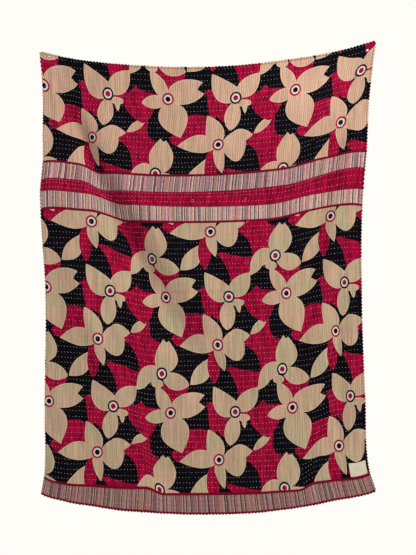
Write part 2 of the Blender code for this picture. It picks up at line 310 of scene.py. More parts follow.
# Unevenness of the layers: how high it is, and how wide its hollows are.
UNEVENNESS = ((0.0024, 0.110), (0.0012, 0.045), (0.0005, 0.018))
EDGE_WAVES = (0.0016, 0.038)     # more of it near the edges
EDGE_WAVES_REACH = 0.016
LABEL_CLEAR = (0.002, 0.010)     # the cloth is even this near to the label, and uneven this far off
PIN_CLEAR = (0.007, 0.016)       # and so round a pin
GATHER_RISE = 0.0016             # round a pin, with rays that rise by more or less than this
GATHER_RAYS = 7.0
GATHER_RAY_RISE = 0.0012
GATHER_AT = 0.017
GATHER_WIDTH = 0.007

# ---- needlework, in metres ---------------------------------------------------------------

ROW_WAVES = ((0.0014, 0.83), (0.0006, 0.27))     # how far a row wavers, and each wave's length
FIRST_ROW = 0.45                 # of the row spacing, down from the top hem
ROW_SCATTER = 0.0011
ROW_HOLLOW = 0.24                # of the row spacing: half the width of the hollow along a row
SEAM_CLEAR = 0.006               # a row of running stitch nearer to a seam than this isn't sewn
STITCH_HOLE = 0.0006             # from a stitch on the front to the one on the back
FIRST_STITCH = 0.008             # from the left edge
LAST_STITCH = 0.012              # from the right edge
STITCH_WANDER = 0.0008
STITCH_LEAN = 0.0004
MISSING_STITCHES = 0.015         # the share that has worn away
SEAM_STITCHES = (                # where each row of them lies, and how long they are
    (BAND_TOP - 0.0040, 0.0032),
    (CRIMSON_TOP, 0.0024),
    (CRIMSON_BOTTOM, 0.0024),
    (BAND_BOTTOM - 0.0040, 0.0032),
    (BORDER_DOWN - 0.0044, 0.0034),
)
SEAM_STITCH_SLANT = 0.0012
LABEL_SEAM = 0.0035              # the label's stitches, in from its edges
LABEL_PITCH = 0.0052
LABEL_STITCH = 0.0030
LABEL_THREAD_RADIUS = 0.00032
LABEL_STITCH_RISE = 0.00028
HEM_INSET = 0.0038               # the middle of the rolled hem, inside the cloth's flat edge
HEM_CORNER = 0.004
HEM_NECK = 0.22                  # of the roll's width, where its thread draws it in
HEM_FLATNESS = 0.8
LOOSE_END = 0.25                 # of the thread's width: an end that has lost a ply or two

# Thread ends that work loose: across and down of each bend, and its lift in millimetres.
LOOSE_THREADS = (
    ((0.603, 0.520, 0.0), (0.606, 0.516, 1.0), (0.611, 0.517, 1.6), (0.610, 0.523, 1.2),
     (0.604, 0.526, 0.8), (0.599, 0.523, 0.4)),
    ((0.797, 0.527, 0.0), (0.802, 0.529, 1.4), (0.806, 0.525, 2.0), (0.808, 0.519, 1.4),
     (0.806, 0.515, 0.4)),
    ((1.190, 0.565, 0.0), (1.196, 0.572, 1.2), (1.197, 0.582, 1.6), (1.192, 0.588, 0.6)),
    ((0.334, 1.301, 0.0), (0.340, 1.297, 1.0), (0.348, 1.299, 1.2), (0.353, 1.306, 0.5)),
)

# ---- meshes and the studio ---------------------------------------------------------------

FRONT_COLUMNS = 228
PIN_SIDES = 64
PIN_EDGE = np.radians(50)        # a bend of the pin sharper than this shows as an edge
TOP_STEPS = 2                    # rows of the mesh above the first row of stitching
ROW_STEPS = 4                    # and from each to the next
EDGE_INSET = 0.0030              # the layers end here inside the rolled hem
BACK_STEP = 2                    # the back has one cell for two by two of the front's
GRID_PITCH = 0.004
ROUND_MM = 0.4                   # softness of a printed edge

CAMERA_PLACE = (0.0017, -3.245, -0.8632)
CAMERA_LENS = 54.5
LIGHTS = (                       # place, width, power and colour
    ("key_light", (1.9, -2.3, 1.9), 1.4, 112.0, "FFF8F0"),
    ("fill_light", (-2.6, -2.4, -0.6), 2.4, 12.0, "F4F7FF"),
    ("back_light", (0.6, 2.6, 0.4), 2.4, 60.0, "FFFFFF"),
)
LIGHTS_AIM = (0.0, 0.0, -0.60)
SURROUND = "FFFDF8"
SURROUND_LIGHT = 0.34            # what the surround lights the quilt with; it is seen at full
FLOOR_PLACE = (0.0, -1.4, -2.2)
FLOOR_RADIUS = 2.1

SEED = 20


# ---- colours -----------------------------------------------------------------------------

def linear(hex_colour):
    """Turn an sRGB hex colour into linear red, green, blue and alpha."""
    channels = [int(hex_colour[start:start + 2], 16) / 255.0 for start in (0, 2, 4)]
    return (*[c / 12.92 if c <= 0.04045 else ((c + 0.055) / 1.055) ** 2.4 for c in channels], 1.0)


def colour_setting(name, hex_colour, description):
    return bpy.props.FloatVectorProperty(name=name, description=description, subtype="COLOR", size=4,
                                         min=0.0, max=1.0, default=linear(hex_colour))


def length_setting(name, metres, description):
    return bpy.props.FloatProperty(name=name, description=description, unit="LENGTH", min=0.0,
                                   precision=5, default=metres)


class QuiltSizes(bpy.types.PropertyGroup):
    """Sizes of the needlework."""
    row_spacing: length_setting("Row spacing", 0.0200, "From one row of running stitch to the next")
    row_depth: length_setting("Row depth", 0.0007, "How far a row of stitches pulls the cloth in")
    stitch_pitch: length_setting("Stitch pitch", 0.0123, "From one stitch to the next in a row")
    stitch_length: length_setting("Stitch length", 0.0028, "Length of thread that shows on the front")
    thread: length_setting("Thread", 0.0017, "Diameter of the quilting thread")
    hem_pitch: length_setting("Hem pitch", 0.0123, "From one overcast stitch to the next")
    hem_radius: length_setting("Hem radius", 0.0052, "Half the width of a bead of the turned hem")
    hem_thread: length_setting("Hem thread", 0.0011, "Diameter of the overcasting thread")
    stripe: length_setting("Stripe", 0.0032, "Mean width of a woven stripe in the bands")


class QuiltColours(bpy.types.PropertyGroup):
    """Colours of the cloths and threads."""
    crimson: colour_setting("Crimson", "9E0B37", "Ground of the print and the middle band")
    dark: colour_setting("Black", "0F0D13", "Dark ground of the print")
    cream: colour_setting("Cream", "CCA890", "Petals and leaves")
    cream_green: colour_setting("Greenish cream", "BDAC8C", "Patches washed thin in the cream")
    cream_light: colour_setting("Pale cream", "E4C6B0", "Bright yarns and the rim of a petal")
    eye: colour_setting("Eye white", "DED6D2", "Inside a flower's ring")
    maroon: colour_setting("Maroon", "7A0B28", "Lines along the bands, and the overcasting thread")
    backing: colour_setting("Backing", "7C1A34", "Plain cotton of the back")
    thread: colour_setting("Thread", "E8E4F0", "Quilting thread")
    label: colour_setting("Label", "EADFC8", "Unbleached cotton tape")
    steel: colour_setting("Steel", "D2D0CA", "Plated pins")
    floor: colour_setting("Floor", "EDEAE4", "Studio floor")


# ---- shape of the cloth ------------------------------------------------------------------

def smooth_through(knots, values, at):
    """Read a smooth cubic curve through the values at the knots."""
    knots = np.asarray(knots, float)
    values = np.asarray(values, float)
    slopes = np.gradient(values, knots)
    low = np.clip(np.searchsorted(knots, at, side="right") - 1, 0, len(knots) - 2)
    span = knots[low + 1] - knots[low]
    t = (at - knots[low]) / span
    return ((2 * t**3 - 3 * t**2 + 1) * values[low] + (t**3 - 2 * t**2 + t) * span * slopes[low]
            + (3 * t**2 - 2 * t**3) * values[low + 1] + (t**3 - t**2) * span * slopes[low + 1])


def smooth_step(low, high, at):
    t = np.clip((at - low) / (high - low), 0.0, 1.0)
    return t * t * (3.0 - 2.0 * t)


def fold_section(fold, z):
    """Give a fold's place, rise and spread at height z."""
    station = np.clip((fold["top_z"] - z) / (fold["top_z"] - fold["bottom_z"]), 0.0, 1.0) * 3.0
    return [smooth_through(range(4), fold[column], station) for column in ("x", "rise", "spread")]


def stand_off(x, z):
    """How far the middle of the cloth is in front of the plane y = 0."""
    free = 1.0
    for side in (-1.0, 1.0):
        away = np.hypot(x - side * PIN_X, z - side * PIN_Z)
        free = free * smooth_step(FLAT_AT_PIN, FREE_OF_PIN, away)
    off = STAND_OFF + BELLY * np.exp(-(x / BELLY_WIDTH)**2 - ((z - BELLY_Z) / BELLY_HEIGHT)**2)
    for fold in FOLDS:
        fold_x, rise, spread = fold_section(fold, z)
        off = off + rise * np.exp(-0.5 * ((x - fold_x) / spread)**2)
    hem = WEFT_THREADS[-1]
    for corner_x, corner_z in ((hem["left_x"], hem["left_z"]), (hem["right_x"], hem["right_z"])):
        away = np.hypot(x - corner_x, z - corner_z)
        off = off + CORNER_CURL * np.exp(-(away / CORNER_CURL_REACH)**2)
    return STAND_OFF_AT_PIN + free * off


def weft_thread(down):
    """Give the points of the weft thread that lies down metres from the top hem."""
    thread = {name: smooth_through(WEFT_THREADS["down"], WEFT_THREADS[name], down)
              for name in WEFT_THREADS.dtype.names}
    fraction = np.linspace(0.0, 1.0, THREAD_SAMPLES)
    x = thread["left_x"] + (thread["right_x"] - thread["left_x"]) * fraction
    z = thread["left_z"] + (thread["right_z"] - thread["left_z"]) * fraction
    dropped = (smooth_step(-thread["slope_from"], thread["slope_from"], x - thread["drop_from"])
               * smooth_step(-thread["slope_to"], thread["slope_to"], thread["drop_to"] - x))
    z = (z - thread["sag"] * 4.0 * fraction * (1.0 - fraction) - thread["drop"] * dropped
         + thread["left_lift"] * np.exp(-(x - thread["left_x"]) / END_LIFT_REACH)
         + thread["right_lift"] * np.exp(-(thread["right_x"] - x) / END_LIFT_REACH))
    return np.stack([x, -stand_off(x, z), z], axis=1)


def cloth_grid(across, down):
    """Give the cloth's middle surface at each across (0 to 1) and down (metres)."""
    grid = np.empty((len(down), len(across), 3))
    for row, thread_down in enumerate(down):
        thread = weft_thread(thread_down)
        length = np.concatenate([[0.0], np.cumsum(np.linalg.norm(np.diff(thread, axis=0), axis=1))])
        for axis in range(3):
            grid[row, :, axis] = np.interp(np.asarray(across) * length[-1], length, thread[:, axis])
    return grid


def unit(vectors):
    return vectors / np.linalg.norm(vectors, axis=-1, keepdims=True)


def between(field, top, left, v, u):
    """Blend the four corners of each cell of a field, v of the way down it and u across it."""
    return ((field[top, left] * (1 - u) + field[top, left + 1] * u) * (1 - v)
            + (field[top + 1, left] * (1 - u) + field[top + 1, left + 1] * u) * v)


class HungCloth:
    """Reads the middle of the hung cloth, and its directions, at any across and down in metres."""

    def __init__(self):
        columns = round(QUILT_WIDTH / GRID_PITCH)
        rows = round(QUILT_LENGTH / GRID_PITCH)
        self.last = np.array([columns, rows])
        self.middle = cloth_grid(np.linspace(0.0, 1.0, columns + 1),
                                 np.linspace(0.0, QUILT_LENGTH, rows + 1))
        self.right = unit(np.gradient(self.middle, axis=1))
        self.fall = unit(np.gradient(self.middle, axis=0))
        self.front = unit(np.cross(self.fall, self.right))

    def read(self, field, across, down):
        column = np.clip(across / QUILT_WIDTH, 0.0, 1.0) * self.last[0]
        row = np.clip(down / QUILT_LENGTH, 0.0, 1.0) * self.last[1]
        left = np.minimum(column.astype(int), self.last[0] - 1)
        top = np.minimum(row.astype(int), self.last[1] - 1)
        return between(field, top, left, (row - top)[..., None], (column - left)[..., None])

    def at(self, across, down, height):
        """Points at a height over the middle of the cloth, to the front where it is over 0."""
        across, down, height = np.broadcast_arrays(np.asarray(across, float), down, height)
        return (self.read(self.middle, across, down)
                + unit(self.read(self.front, across, down)) * height[..., None])


@functools.cache
def hung_cloth():
    return HungCloth()


def soft_noise(across, down, cell, seed):
    """Smooth noise from -1 to 1 with cells of the given size in metres."""
    lattice = np.random.default_rng(seed).uniform(
        -1.0, 1.0, (int(QUILT_LENGTH / cell) + 4, int(QUILT_WIDTH / cell) + 4))
    column = np.asarray(across) / cell + 1.0
    row = np.asarray(down) / cell + 1.0
    left = np.clip(column.astype(int), 0, lattice.shape[1] - 2)
    top = np.clip(row.astype(int), 0, lattice.shape[0] - 2)
    return between(lattice, top, left, smooth_step(0.0, 1.0, row - top),
                   smooth_step(0.0, 1.0, column - left))


def stitch_rows(spacing):
    """The rows of running stitch: each one's mean place down the cloth and its two waves."""
    random = np.random.default_rng(SEED)
    count = int((QUILT_LENGTH - spacing) / spacing) + 1
    places = spacing * (FIRST_ROW + np.arange(count)) + random.normal(0.0, ROW_SCATTER, count)
    return places, random.uniform(0.0, 2.0 * np.pi, (2, count))


def row_down(place, phases, across):
    """How far down a row of stitches lies at each across: sewn by eye, it wavers."""
    for (sway, length), phase in zip(ROW_WAVES, phases):
        place = place + sway * np.sin(2.0 * np.pi * across / length + phase)
    return place


def wrinkle_relief(across, down):
    relief = np.zeros(np.broadcast(across, down).shape)
    for wrinkle in WRINKLES:
        turn = np.radians(wrinkle["heading"])
        dx = across - wrinkle["across"]
        dy = down - wrinkle["down"]
        along = (dx * np.sin(turn) - dy * np.cos(turn)) / (0.5 * wrinkle["length"])
        aside = (dx * np.cos(turn) + dy * np.sin(turn)) / wrinkle["half_width"]
        relief += wrinkle["rise"] * np.exp(-aside**2 - along**4)
    return relief


def label_span():
    """Where the label lies: across the cloth and down it, in metres."""
    right = QUILT_WIDTH - LABEL_FROM_SIDE
    bottom = BORDER_DOWN - LABEL_ABOVE_BORDER
    return (right - LABEL_WIDTH, right), (bottom - LABEL_HEIGHT, bottom)


def edge_distances(across, down):
    """How far a place on the flat cloth is from its nearest side, from its top or foot, and in all."""
    from_side = np.minimum(across, QUILT_WIDTH - across)
    from_end = np.minimum(down, QUILT_LENGTH - down)
    return from_side, from_end, np.minimum(from_side, from_end)


def gathers_at_pins(across, down):
    """The cloth's small rays round the pins, and 0 under their heads and 1 well clear of them."""
    cloth = hung_cloth()
    point = cloth.read(cloth.middle, across, down)
    gathers = np.zeros(point.shape[:-1])
    clear = np.ones(point.shape[:-1])
    for side in (-1.0, 1.0):
        dx = point[..., 0] - side * PIN_X
        dz = point[..., 2] - side * PIN_Z
        away = np.hypot(dx, dz)
        rays = GATHER_RISE + GATHER_RAY_RISE * np.cos(GATHER_RAYS * np.arctan2(dz, dx) + side)
        gathers += rays * np.exp(-((away - GATHER_AT) / GATHER_WIDTH)**2)
        clear *= smooth_step(*PIN_CLEAR, away)
    return gathers, clear


def face_height(across, down, sizes, side):
    """How far a face of the quilt is from its even middle: over it for the front, side 1.0."""
    across, down = np.broadcast_arrays(np.asarray(across, float), np.asarray(down, float))
    places, phases = stitch_rows(sizes.row_spacing)
    nearest = np.full(across.shape, 1.0)
    for row, place in enumerate(places):
        nearest = np.minimum(nearest, abs(down - row_down(place, phases[:, row], across)))
    quilted = -sizes.row_depth * np.exp(-(nearest / (ROW_HOLLOW * sizes.row_spacing))**2)
    relief = sum(rise * soft_noise(across, down, cell, SEED + number)
                 for number, (rise, cell) in enumerate(UNEVENNESS, 1))
    *_, from_edge = edge_distances(across, down)
    rise, cell = EDGE_WAVES
    relief = relief + (rise * soft_noise(across, down, cell, SEED + 4)
                       * np.exp(-from_edge / EDGE_WAVES_REACH))
    (label_left, label_right), (label_top, label_bottom) = label_span()
    beside = np.maximum(np.maximum(label_left - across, across - label_right),
                        np.maximum(label_top - down, down - label_bottom))
    open_cloth = smooth_step(*LABEL_CLEAR, beside)
    gathers, clear_of_pins = gathers_at_pins(across, down)
    moved = (wrinkle_relief(across, down) + relief + side * quilted) * open_cloth * clear_of_pins
    return side * QUILT_THICKNESS / 2 + moved + gathers


# ---- meshes ------------------------------------------------------------------------------

def add_piece(name, points, faces, materials, maps=None):
    """Make a mesh object, with a UV map for each name in maps: one (u, v) for each face corner."""
    mesh = bpy.data.meshes.new(name)
    mesh.from_pydata(np.asarray(points).reshape(-1, 3).tolist(), [], faces)
    for map_name, corners in (maps or {}).items():
        layer = mesh.uv_layers.new(name=map_name)
        layer.uv.foreach_set("vector", np.asarray(corners, dtype=np.float32).ravel())
    for made in materials:
        mesh.materials.append(made)
    mesh.shade_smooth()
    thing = bpy.data.objects.new(name, mesh)
    bpy.context.collection.objects.link(thing)
    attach(thing, "root")
    return thing


def grid_faces(columns, rows, first=0, turned=False):
    """Quads of a grid of (rows + 1) by (columns + 1) points, facing the front unless turned."""
    corner = (first + np.arange(rows)[:, None] * (columns + 1) + np.arange(columns)).reshape(-1, 1)
    ring = np.array([0, columns + 1, columns + 2, 1])
    return corner + (ring[::-1] if turned else ring)


def grid_outline(columns, rows):
    """Each (row, column) round a grid, from its top left corner, clockwise as seen from the front."""
    return ([(0, column) for column in range(columns)]
            + [(row, columns) for row in range(rows)]
            + [(rows, column) for column in range(columns, 0, -1)]
            + [(row, 0) for row in range(rows, 0, -1)])


def round_turns(count):
    """Angles spread evenly round a circle."""
    return 2.0 * np.pi * np.arange(count) / count


def tube_faces(count, rings, sides, closed=False):
    """Faces of count tubes alike: each a tip, rings of points and a tip, or a closed loop of rings."""
    lead = 0 if closed else 1
    ring = np.arange(rings if closed else rings - 1)[:, None] * sides
    side = np.arange(sides)
    following = (side + 1) % sides
    next_ring = (ring + sides) % (rings * sides)
    quads = np.stack([ring + side, ring + following, next_ring + following, next_ring + side],
                     axis=-1).reshape(-1, 4) + lead
    shift = np.arange(count)[:, None, None] * (rings * sides + 2 * lead)
    faces = (quads[None] + shift).reshape(-1, 4).tolist()
    if not closed:
        last = 1 + (rings - 1) * sides
        foot = np.stack([np.zeros_like(side), 1 + following, 1 + side], axis=-1)
        tip = np.stack([np.full_like(side, rings * sides + 1), last + side, last + following],
                       axis=-1)
        faces += (np.concatenate([foot, tip])[None] + shift).reshape(-1, 3).tolist()
    return faces


def thread_points(path, radius, aside, up, sides):
    """Points of tubes along paths of (tube, station, 3), whose end stations are tips."""
    turn = round_turns(sides)
    inner = path[:, 1:-1, None]
    outward = (np.cos(turn)[:, None] * aside[:, 1:-1, None]
               + np.sin(turn)[:, None] * up[:, 1:-1, None])
    ring = inner + radius[:, 1:-1, None, None] * outward
    tubes = len(path)
    return np.concatenate([path[:, :1], ring.reshape(tubes, -1, 3), path[:, -1:]], axis=1)


# ---- materials ---------------------------------------------------------------------------

def add(tree, kind, *inputs, named=None, **settings):
    """Add a shader node with its settings, link or set its inputs, and give its first output."""
    node = tree.nodes.new(kind if kind.startswith("Node") else "ShaderNode" + kind)
    for setting, value in settings.items():
        setattr(node, setting, value)
    sockets = [socket for socket in node.inputs if socket.enabled]
    wanted = [(sockets[place], value) for place, value in enumerate(inputs) if value is not None]
    wanted += [(node.inputs[name], value) for name, value in (named or {}).items()]
    for socket, value in wanted:
        if isinstance(value, bpy.types.NodeSocket):
            tree.links.new(value, socket)
        else:
            socket.default_value = value
    return next((socket for socket in node.outputs if socket.enabled), None)


def new_material(name):
    """A material with only its output, and its node tree."""
    made = bpy.data.materials.new(name)
    made.use_nodes = True
    made.node_tree.nodes.clear()
    return made, made.node_tree


def finish_material(tree, colour, roughness, height, strength, depth, constants):
    """Close a material with the Principled shader, over a relief that is depth metres high.

    What is the same all over stays on the shader's own sockets.
    """
    relief = add(tree, "Bump", named={"Strength": strength, "Distance": depth, "Height": height})
    shader = add(tree, "BsdfPrincipled", named={"Base Color": colour, "Roughness": roughness,
                                                "Normal": relief, **constants})
    add(tree, "OutputMaterial", shader)


def flat_cloth(tree):
    """The place on the flat cloth, in millimetres across from its left edge and down from its top."""
    return add(tree, "VectorMath", add(tree, "UVMap", uv_map="cloth"), (1000.0, 1000.0, 0.0),
               operation="MULTIPLY")


def grain(tree, place, across_mm, down_mm, shift=0.0, detail=2.0):
    """Noise from 0 to 1 whose grain is across_mm by down_mm, on a place in millimetres."""
    scaled = add(tree, "VectorMath", place, (1.0 / across_mm, 1.0 / down_mm, 0.0),
                 (shift, shift, shift), operation="MULTIPLY_ADD")
    return add(tree, "TexNoise", named={"Vector": scaled, "Scale": 1.0, "Detail": detail})


def uneven(tree, colour, noise, darkest, palest):
    """A colour as uneven yarn, dye or wear leaves it: multiplied by darkest to palest."""
    tone = add(tree, "MapRange", noise, 0.30, 0.70, darkest, palest)
    return add(tree, "Mix", 1.0, colour, tone, data_type="RGBA", blend_type="MULTIPLY")


def printed(tree, inside, under, ink, low=-ROUND_MM, high=ROUND_MM):
    """Lay ink over what is under it where inside is over 0 mm, with a slightly soft edge."""
    share = add(tree, "MapRange", inside, low, high, 0.0, 1.0, interpolation_type="SMOOTHSTEP")
    return add(tree, "Mix", share, under, ink, data_type="RGBA")


def slip(tree, along, length_mm, places):
    """How far the print lies from its even repeat: a smooth curve through places along the cloth."""
    share = add(tree, "MapRange", along, 0.0, length_mm, 0.0, 1.0)
    drawn = add(tree, "FloatCurve", 1.0, share)
    curve = drawn.node.mapping.curves[0]
    while len(curve.points) < len(places):
        curve.points.new(0.5, 0.5)
    for point, (at, slipped) in zip(curve.points, places):
        point.location = (at / length_mm, 0.5 + slipped / SLIP_RANGE)
    drawn.node.mapping.update()
    return add(tree, "MapRange", drawn, 0.0, 1.0, -0.5 * SLIP_RANGE, 0.5 * SLIP_RANGE)


def apart(tree, one, other):
    """How far apart two lengths are."""
    away = add(tree, "Math", one, other, operation="SUBTRACT")
    return add(tree, "Math", away, operation="ABSOLUTE")


def cut_out(tree, inside, hole):
    """How far inside a shape a place is, once a hole is cut out of it."""
    outside = add(tree, "Math", hole, -1.0, operation="MULTIPLY")
    return add(tree, "Math", inside, outside, operation="MINIMUM")


def from_repeated(tree, place, spot):
    """The way to a place from the nearest repeat of a spot in the print."""
    away = add(tree, "VectorMath", place, spot, operation="SUBTRACT")
    return add(tree, "VectorMath", away, HALF_REPEAT, [-side for side in HALF_REPEAT],
               operation="WRAP")


def leaf_group():
    """A node group that says how far inside a leaf of the print a place is, in millimetres."""
    group = bpy.data.node_groups.new("print leaf", "ShaderNodeTree")
    for name, kind in (("Place", "NodeSocketVector"), ("Foot", "NodeSocketVector"),
                       ("Along", "NodeSocketVector"), ("Aside", "NodeSocketVector"),
                       ("Length", "NodeSocketFloat"), ("Half Width", "NodeSocketFloat"),
                       ("Bend", "NodeSocketFloat"), ("Fullness", "NodeSocketFloat"),
                       ("Taper", "NodeSocketFloat")):
        group.interface.new_socket(name, in_out="INPUT", socket_type=kind)
    group.interface.new_socket("Inside", in_out="OUTPUT", socket_type="NodeSocketFloat")
    given = add(group, "NodeGroupInput").node.outputs
    away = from_repeated(group, given["Place"], given["Foot"])
    along, aside = (add(group, "VectorMath", away, given[way], operation="DOT_PRODUCT")
                    .node.outputs["Value"] for way in ("Along", "Aside"))
    on_leaf = add(group, "Clamp", along, 0.0, 1.0)
    to_tip = add(group, "Math", 1.0, on_leaf, operation="SUBTRACT")
    foot_part = add(group, "Math", on_leaf, given["Fullness"], operation="POWER")
    tip_part = add(group, "Math", to_tip, given["Taper"], operation="POWER")
    width = add(group, "Math", foot_part, tip_part, operation="MULTIPLY")
    width = add(group, "Math", width, given["Half Width"], operation="MULTIPLY")
    bow = add(group, "Math", on_leaf, to_tip, operation="MULTIPLY")
    middle = add(group, "Math", bow, given["Bend"], operation="MULTIPLY")
    inside = add(group, "Math", width, apart(group, aside, middle), operation="SUBTRACT")
    past_end = add(group, "Math", apart(group, along, on_leaf), given["Length"],
                   operation="MULTIPLY")
    inside = add(group, "Math", inside, past_end, operation="SUBTRACT")
    add(group, "NodeGroupOutput", inside)
    return group


def leaves(tree, group, place, table):
    """How far inside any of a table's leaves a place is, in millimetres."""
    inside = None
    for row in table:
        leaf = dict(zip(LEAF_COLUMNS, row))
        centre = FLOWERS[leaf["flower"]]
        turn = np.radians(leaf["heading"])
        ahead = np.array([np.sin(turn), -np.cos(turn)])
        fullness = leaf["fullness"]
        taper = leaf["taper"]
        widest = fullness / (fullness + taper)
        peak = widest**fullness * (1.0 - widest)**taper
        one = add(tree, "Group", node_tree=group, named={
            "Place": place,
            "Foot": (centre[0] + leaf["x"], centre[1] + leaf["y"], 0.0),
            "Along": (*(ahead / leaf["length"]), 0.0),
            "Aside": (-ahead[1], ahead[0], 0.0),
            "Length": leaf["length"],
            "Half Width": leaf["half_width"] / peak,
            "Bend": 4.0 * leaf["bend"],
            "Fullness": fullness,
            "Taper": taper,
        })
        inside = one if inside is None else add(tree, "Math", inside, one, operation="MAXIMUM")
    return inside


def flower_distance(tree, place, ring_is_dark):
    """Distance in millimetres to the nearest flower whose ring is dark, or is crimson."""
    nearest = None
    for x, y, dark in FLOWERS.values():
        if dark != ring_is_dark:
            continue
        away = add(tree, "VectorMath", from_repeated(tree, place, (x, y, 0.0)), RING_SHAPE,
                   operation="MULTIPLY")
        away = add(tree, "VectorMath", away, operation="LENGTH").node.outputs["Value"]
        nearest = away if nearest is None else add(tree, "Math", nearest, away, operation="MINIMUM")
    return nearest


def print_place(tree, flat, across, down, above):
    """The place in the print's repeat, which wanders and slips as the cloth was pulled in sewing."""
    wander = grain(tree, flat, 40.0, 40.0).node.outputs["Color"]
    place = add(tree, "VectorMath", wander, (PRINT_WANDER, PRINT_WANDER, 0.0), flat,
                operation="MULTIPLY_ADD")
    slip_across, slip_down, slip_right = (slip(tree, down, 1000.0 * QUILT_LENGTH, places)
                                          for places in (SLIP_ACROSS, SLIP_DOWN, SLIP_AT_RIGHT))
    slip_above = slip(tree, across, 1000.0 * QUILT_WIDTH, SLIP_DOWN_ABOVE)
    at_right = add(tree, "MapRange", across, *RIGHT_SIDE, 0.0, 1.0, interpolation_type="SMOOTHSTEP")
    slip_across = add(tree, "Math", at_right, slip_right, slip_across, operation="MULTIPLY_ADD")
    slip_down = add(tree, "Math", above, slip_above, slip_down, operation="MULTIPLY_ADD")
    slipped = add(tree, "CombineXYZ", slip_across, slip_down)
    place = add(tree, "VectorMath", place, slipped, operation="SUBTRACT")
    lift = add(tree, "Math", above, UPPER_REPEAT_DOWN - LOWER_REPEAT_DOWN,
               LOWER_REPEAT_DOWN + 0.5 * PRINT_WANDER, operation="MULTIPLY_ADD")
    start = add(tree, "CombineXYZ", REPEAT_ACROSS + 0.5 * PRINT_WANDER, lift)
    return add(tree, "VectorMath", place, start, operation="SUBTRACT")


def woven_stripes(tree, flat, across, down):
    """Handloom stripes: warps of many colours, from a millimetre to a centimetre wide."""
    wander = add(tree, "MapRange", grain(tree, flat, 30.0, 24.0, 3.7), 0.0, 1.0,
                 -WARP_WANDER, WARP_WANDER)
    moved = add(tree, "Math", across, wander, operation="ADD")
    for start, shift in STRIPE_SHIFTS:
        past = add(tree, "Math", down, start, operation="GREATER_THAN")
        moved = add(tree, "Math", past, shift, moved, operation="MULTIPLY_ADD")
    stripe = 1000.0 * bpy.context.scene.quilt_sizes.stripe
    cells = add(tree, "TexVoronoi", named={"W": moved, "Scale": 1.0 / stripe},
                voronoi_dimensions="1D")
    pick = add(tree, "SeparateColor", cells.node.outputs["Color"])
    colour = add(tree, "ValToRGB", pick)
    ramp = colour.node.color_ramp
    ramp.interpolation = "CONSTANT"
    while len(ramp.elements) < len(WARP_COLOURS):
        ramp.elements.new(0.5)
    for number, warp in enumerate(WARP_COLOURS.values()):
        ramp.elements[number].position = number / len(WARP_COLOURS)
        ramp.elements[number].color = linear(warp)
    lines = add(tree, "TexVoronoi", named={"W": moved, "Scale": 1.0 / LINE_SPACING},
                voronoi_dimensions="1D")
    from_line = add(tree, "Math", moved, lines.node.outputs["W"], operation="SUBTRACT")
    for line_at, line_colour in ((PALE_LINE_AT, PALE_WARP), (0.0, DARK_WARP)):
        inside = add(tree, "Math", LINE_HALF_WIDTH, apart(tree, from_line, line_at),
                     operation="SUBTRACT")
        colour = printed(tree, inside, colour, linear(line_colour))
    return colour


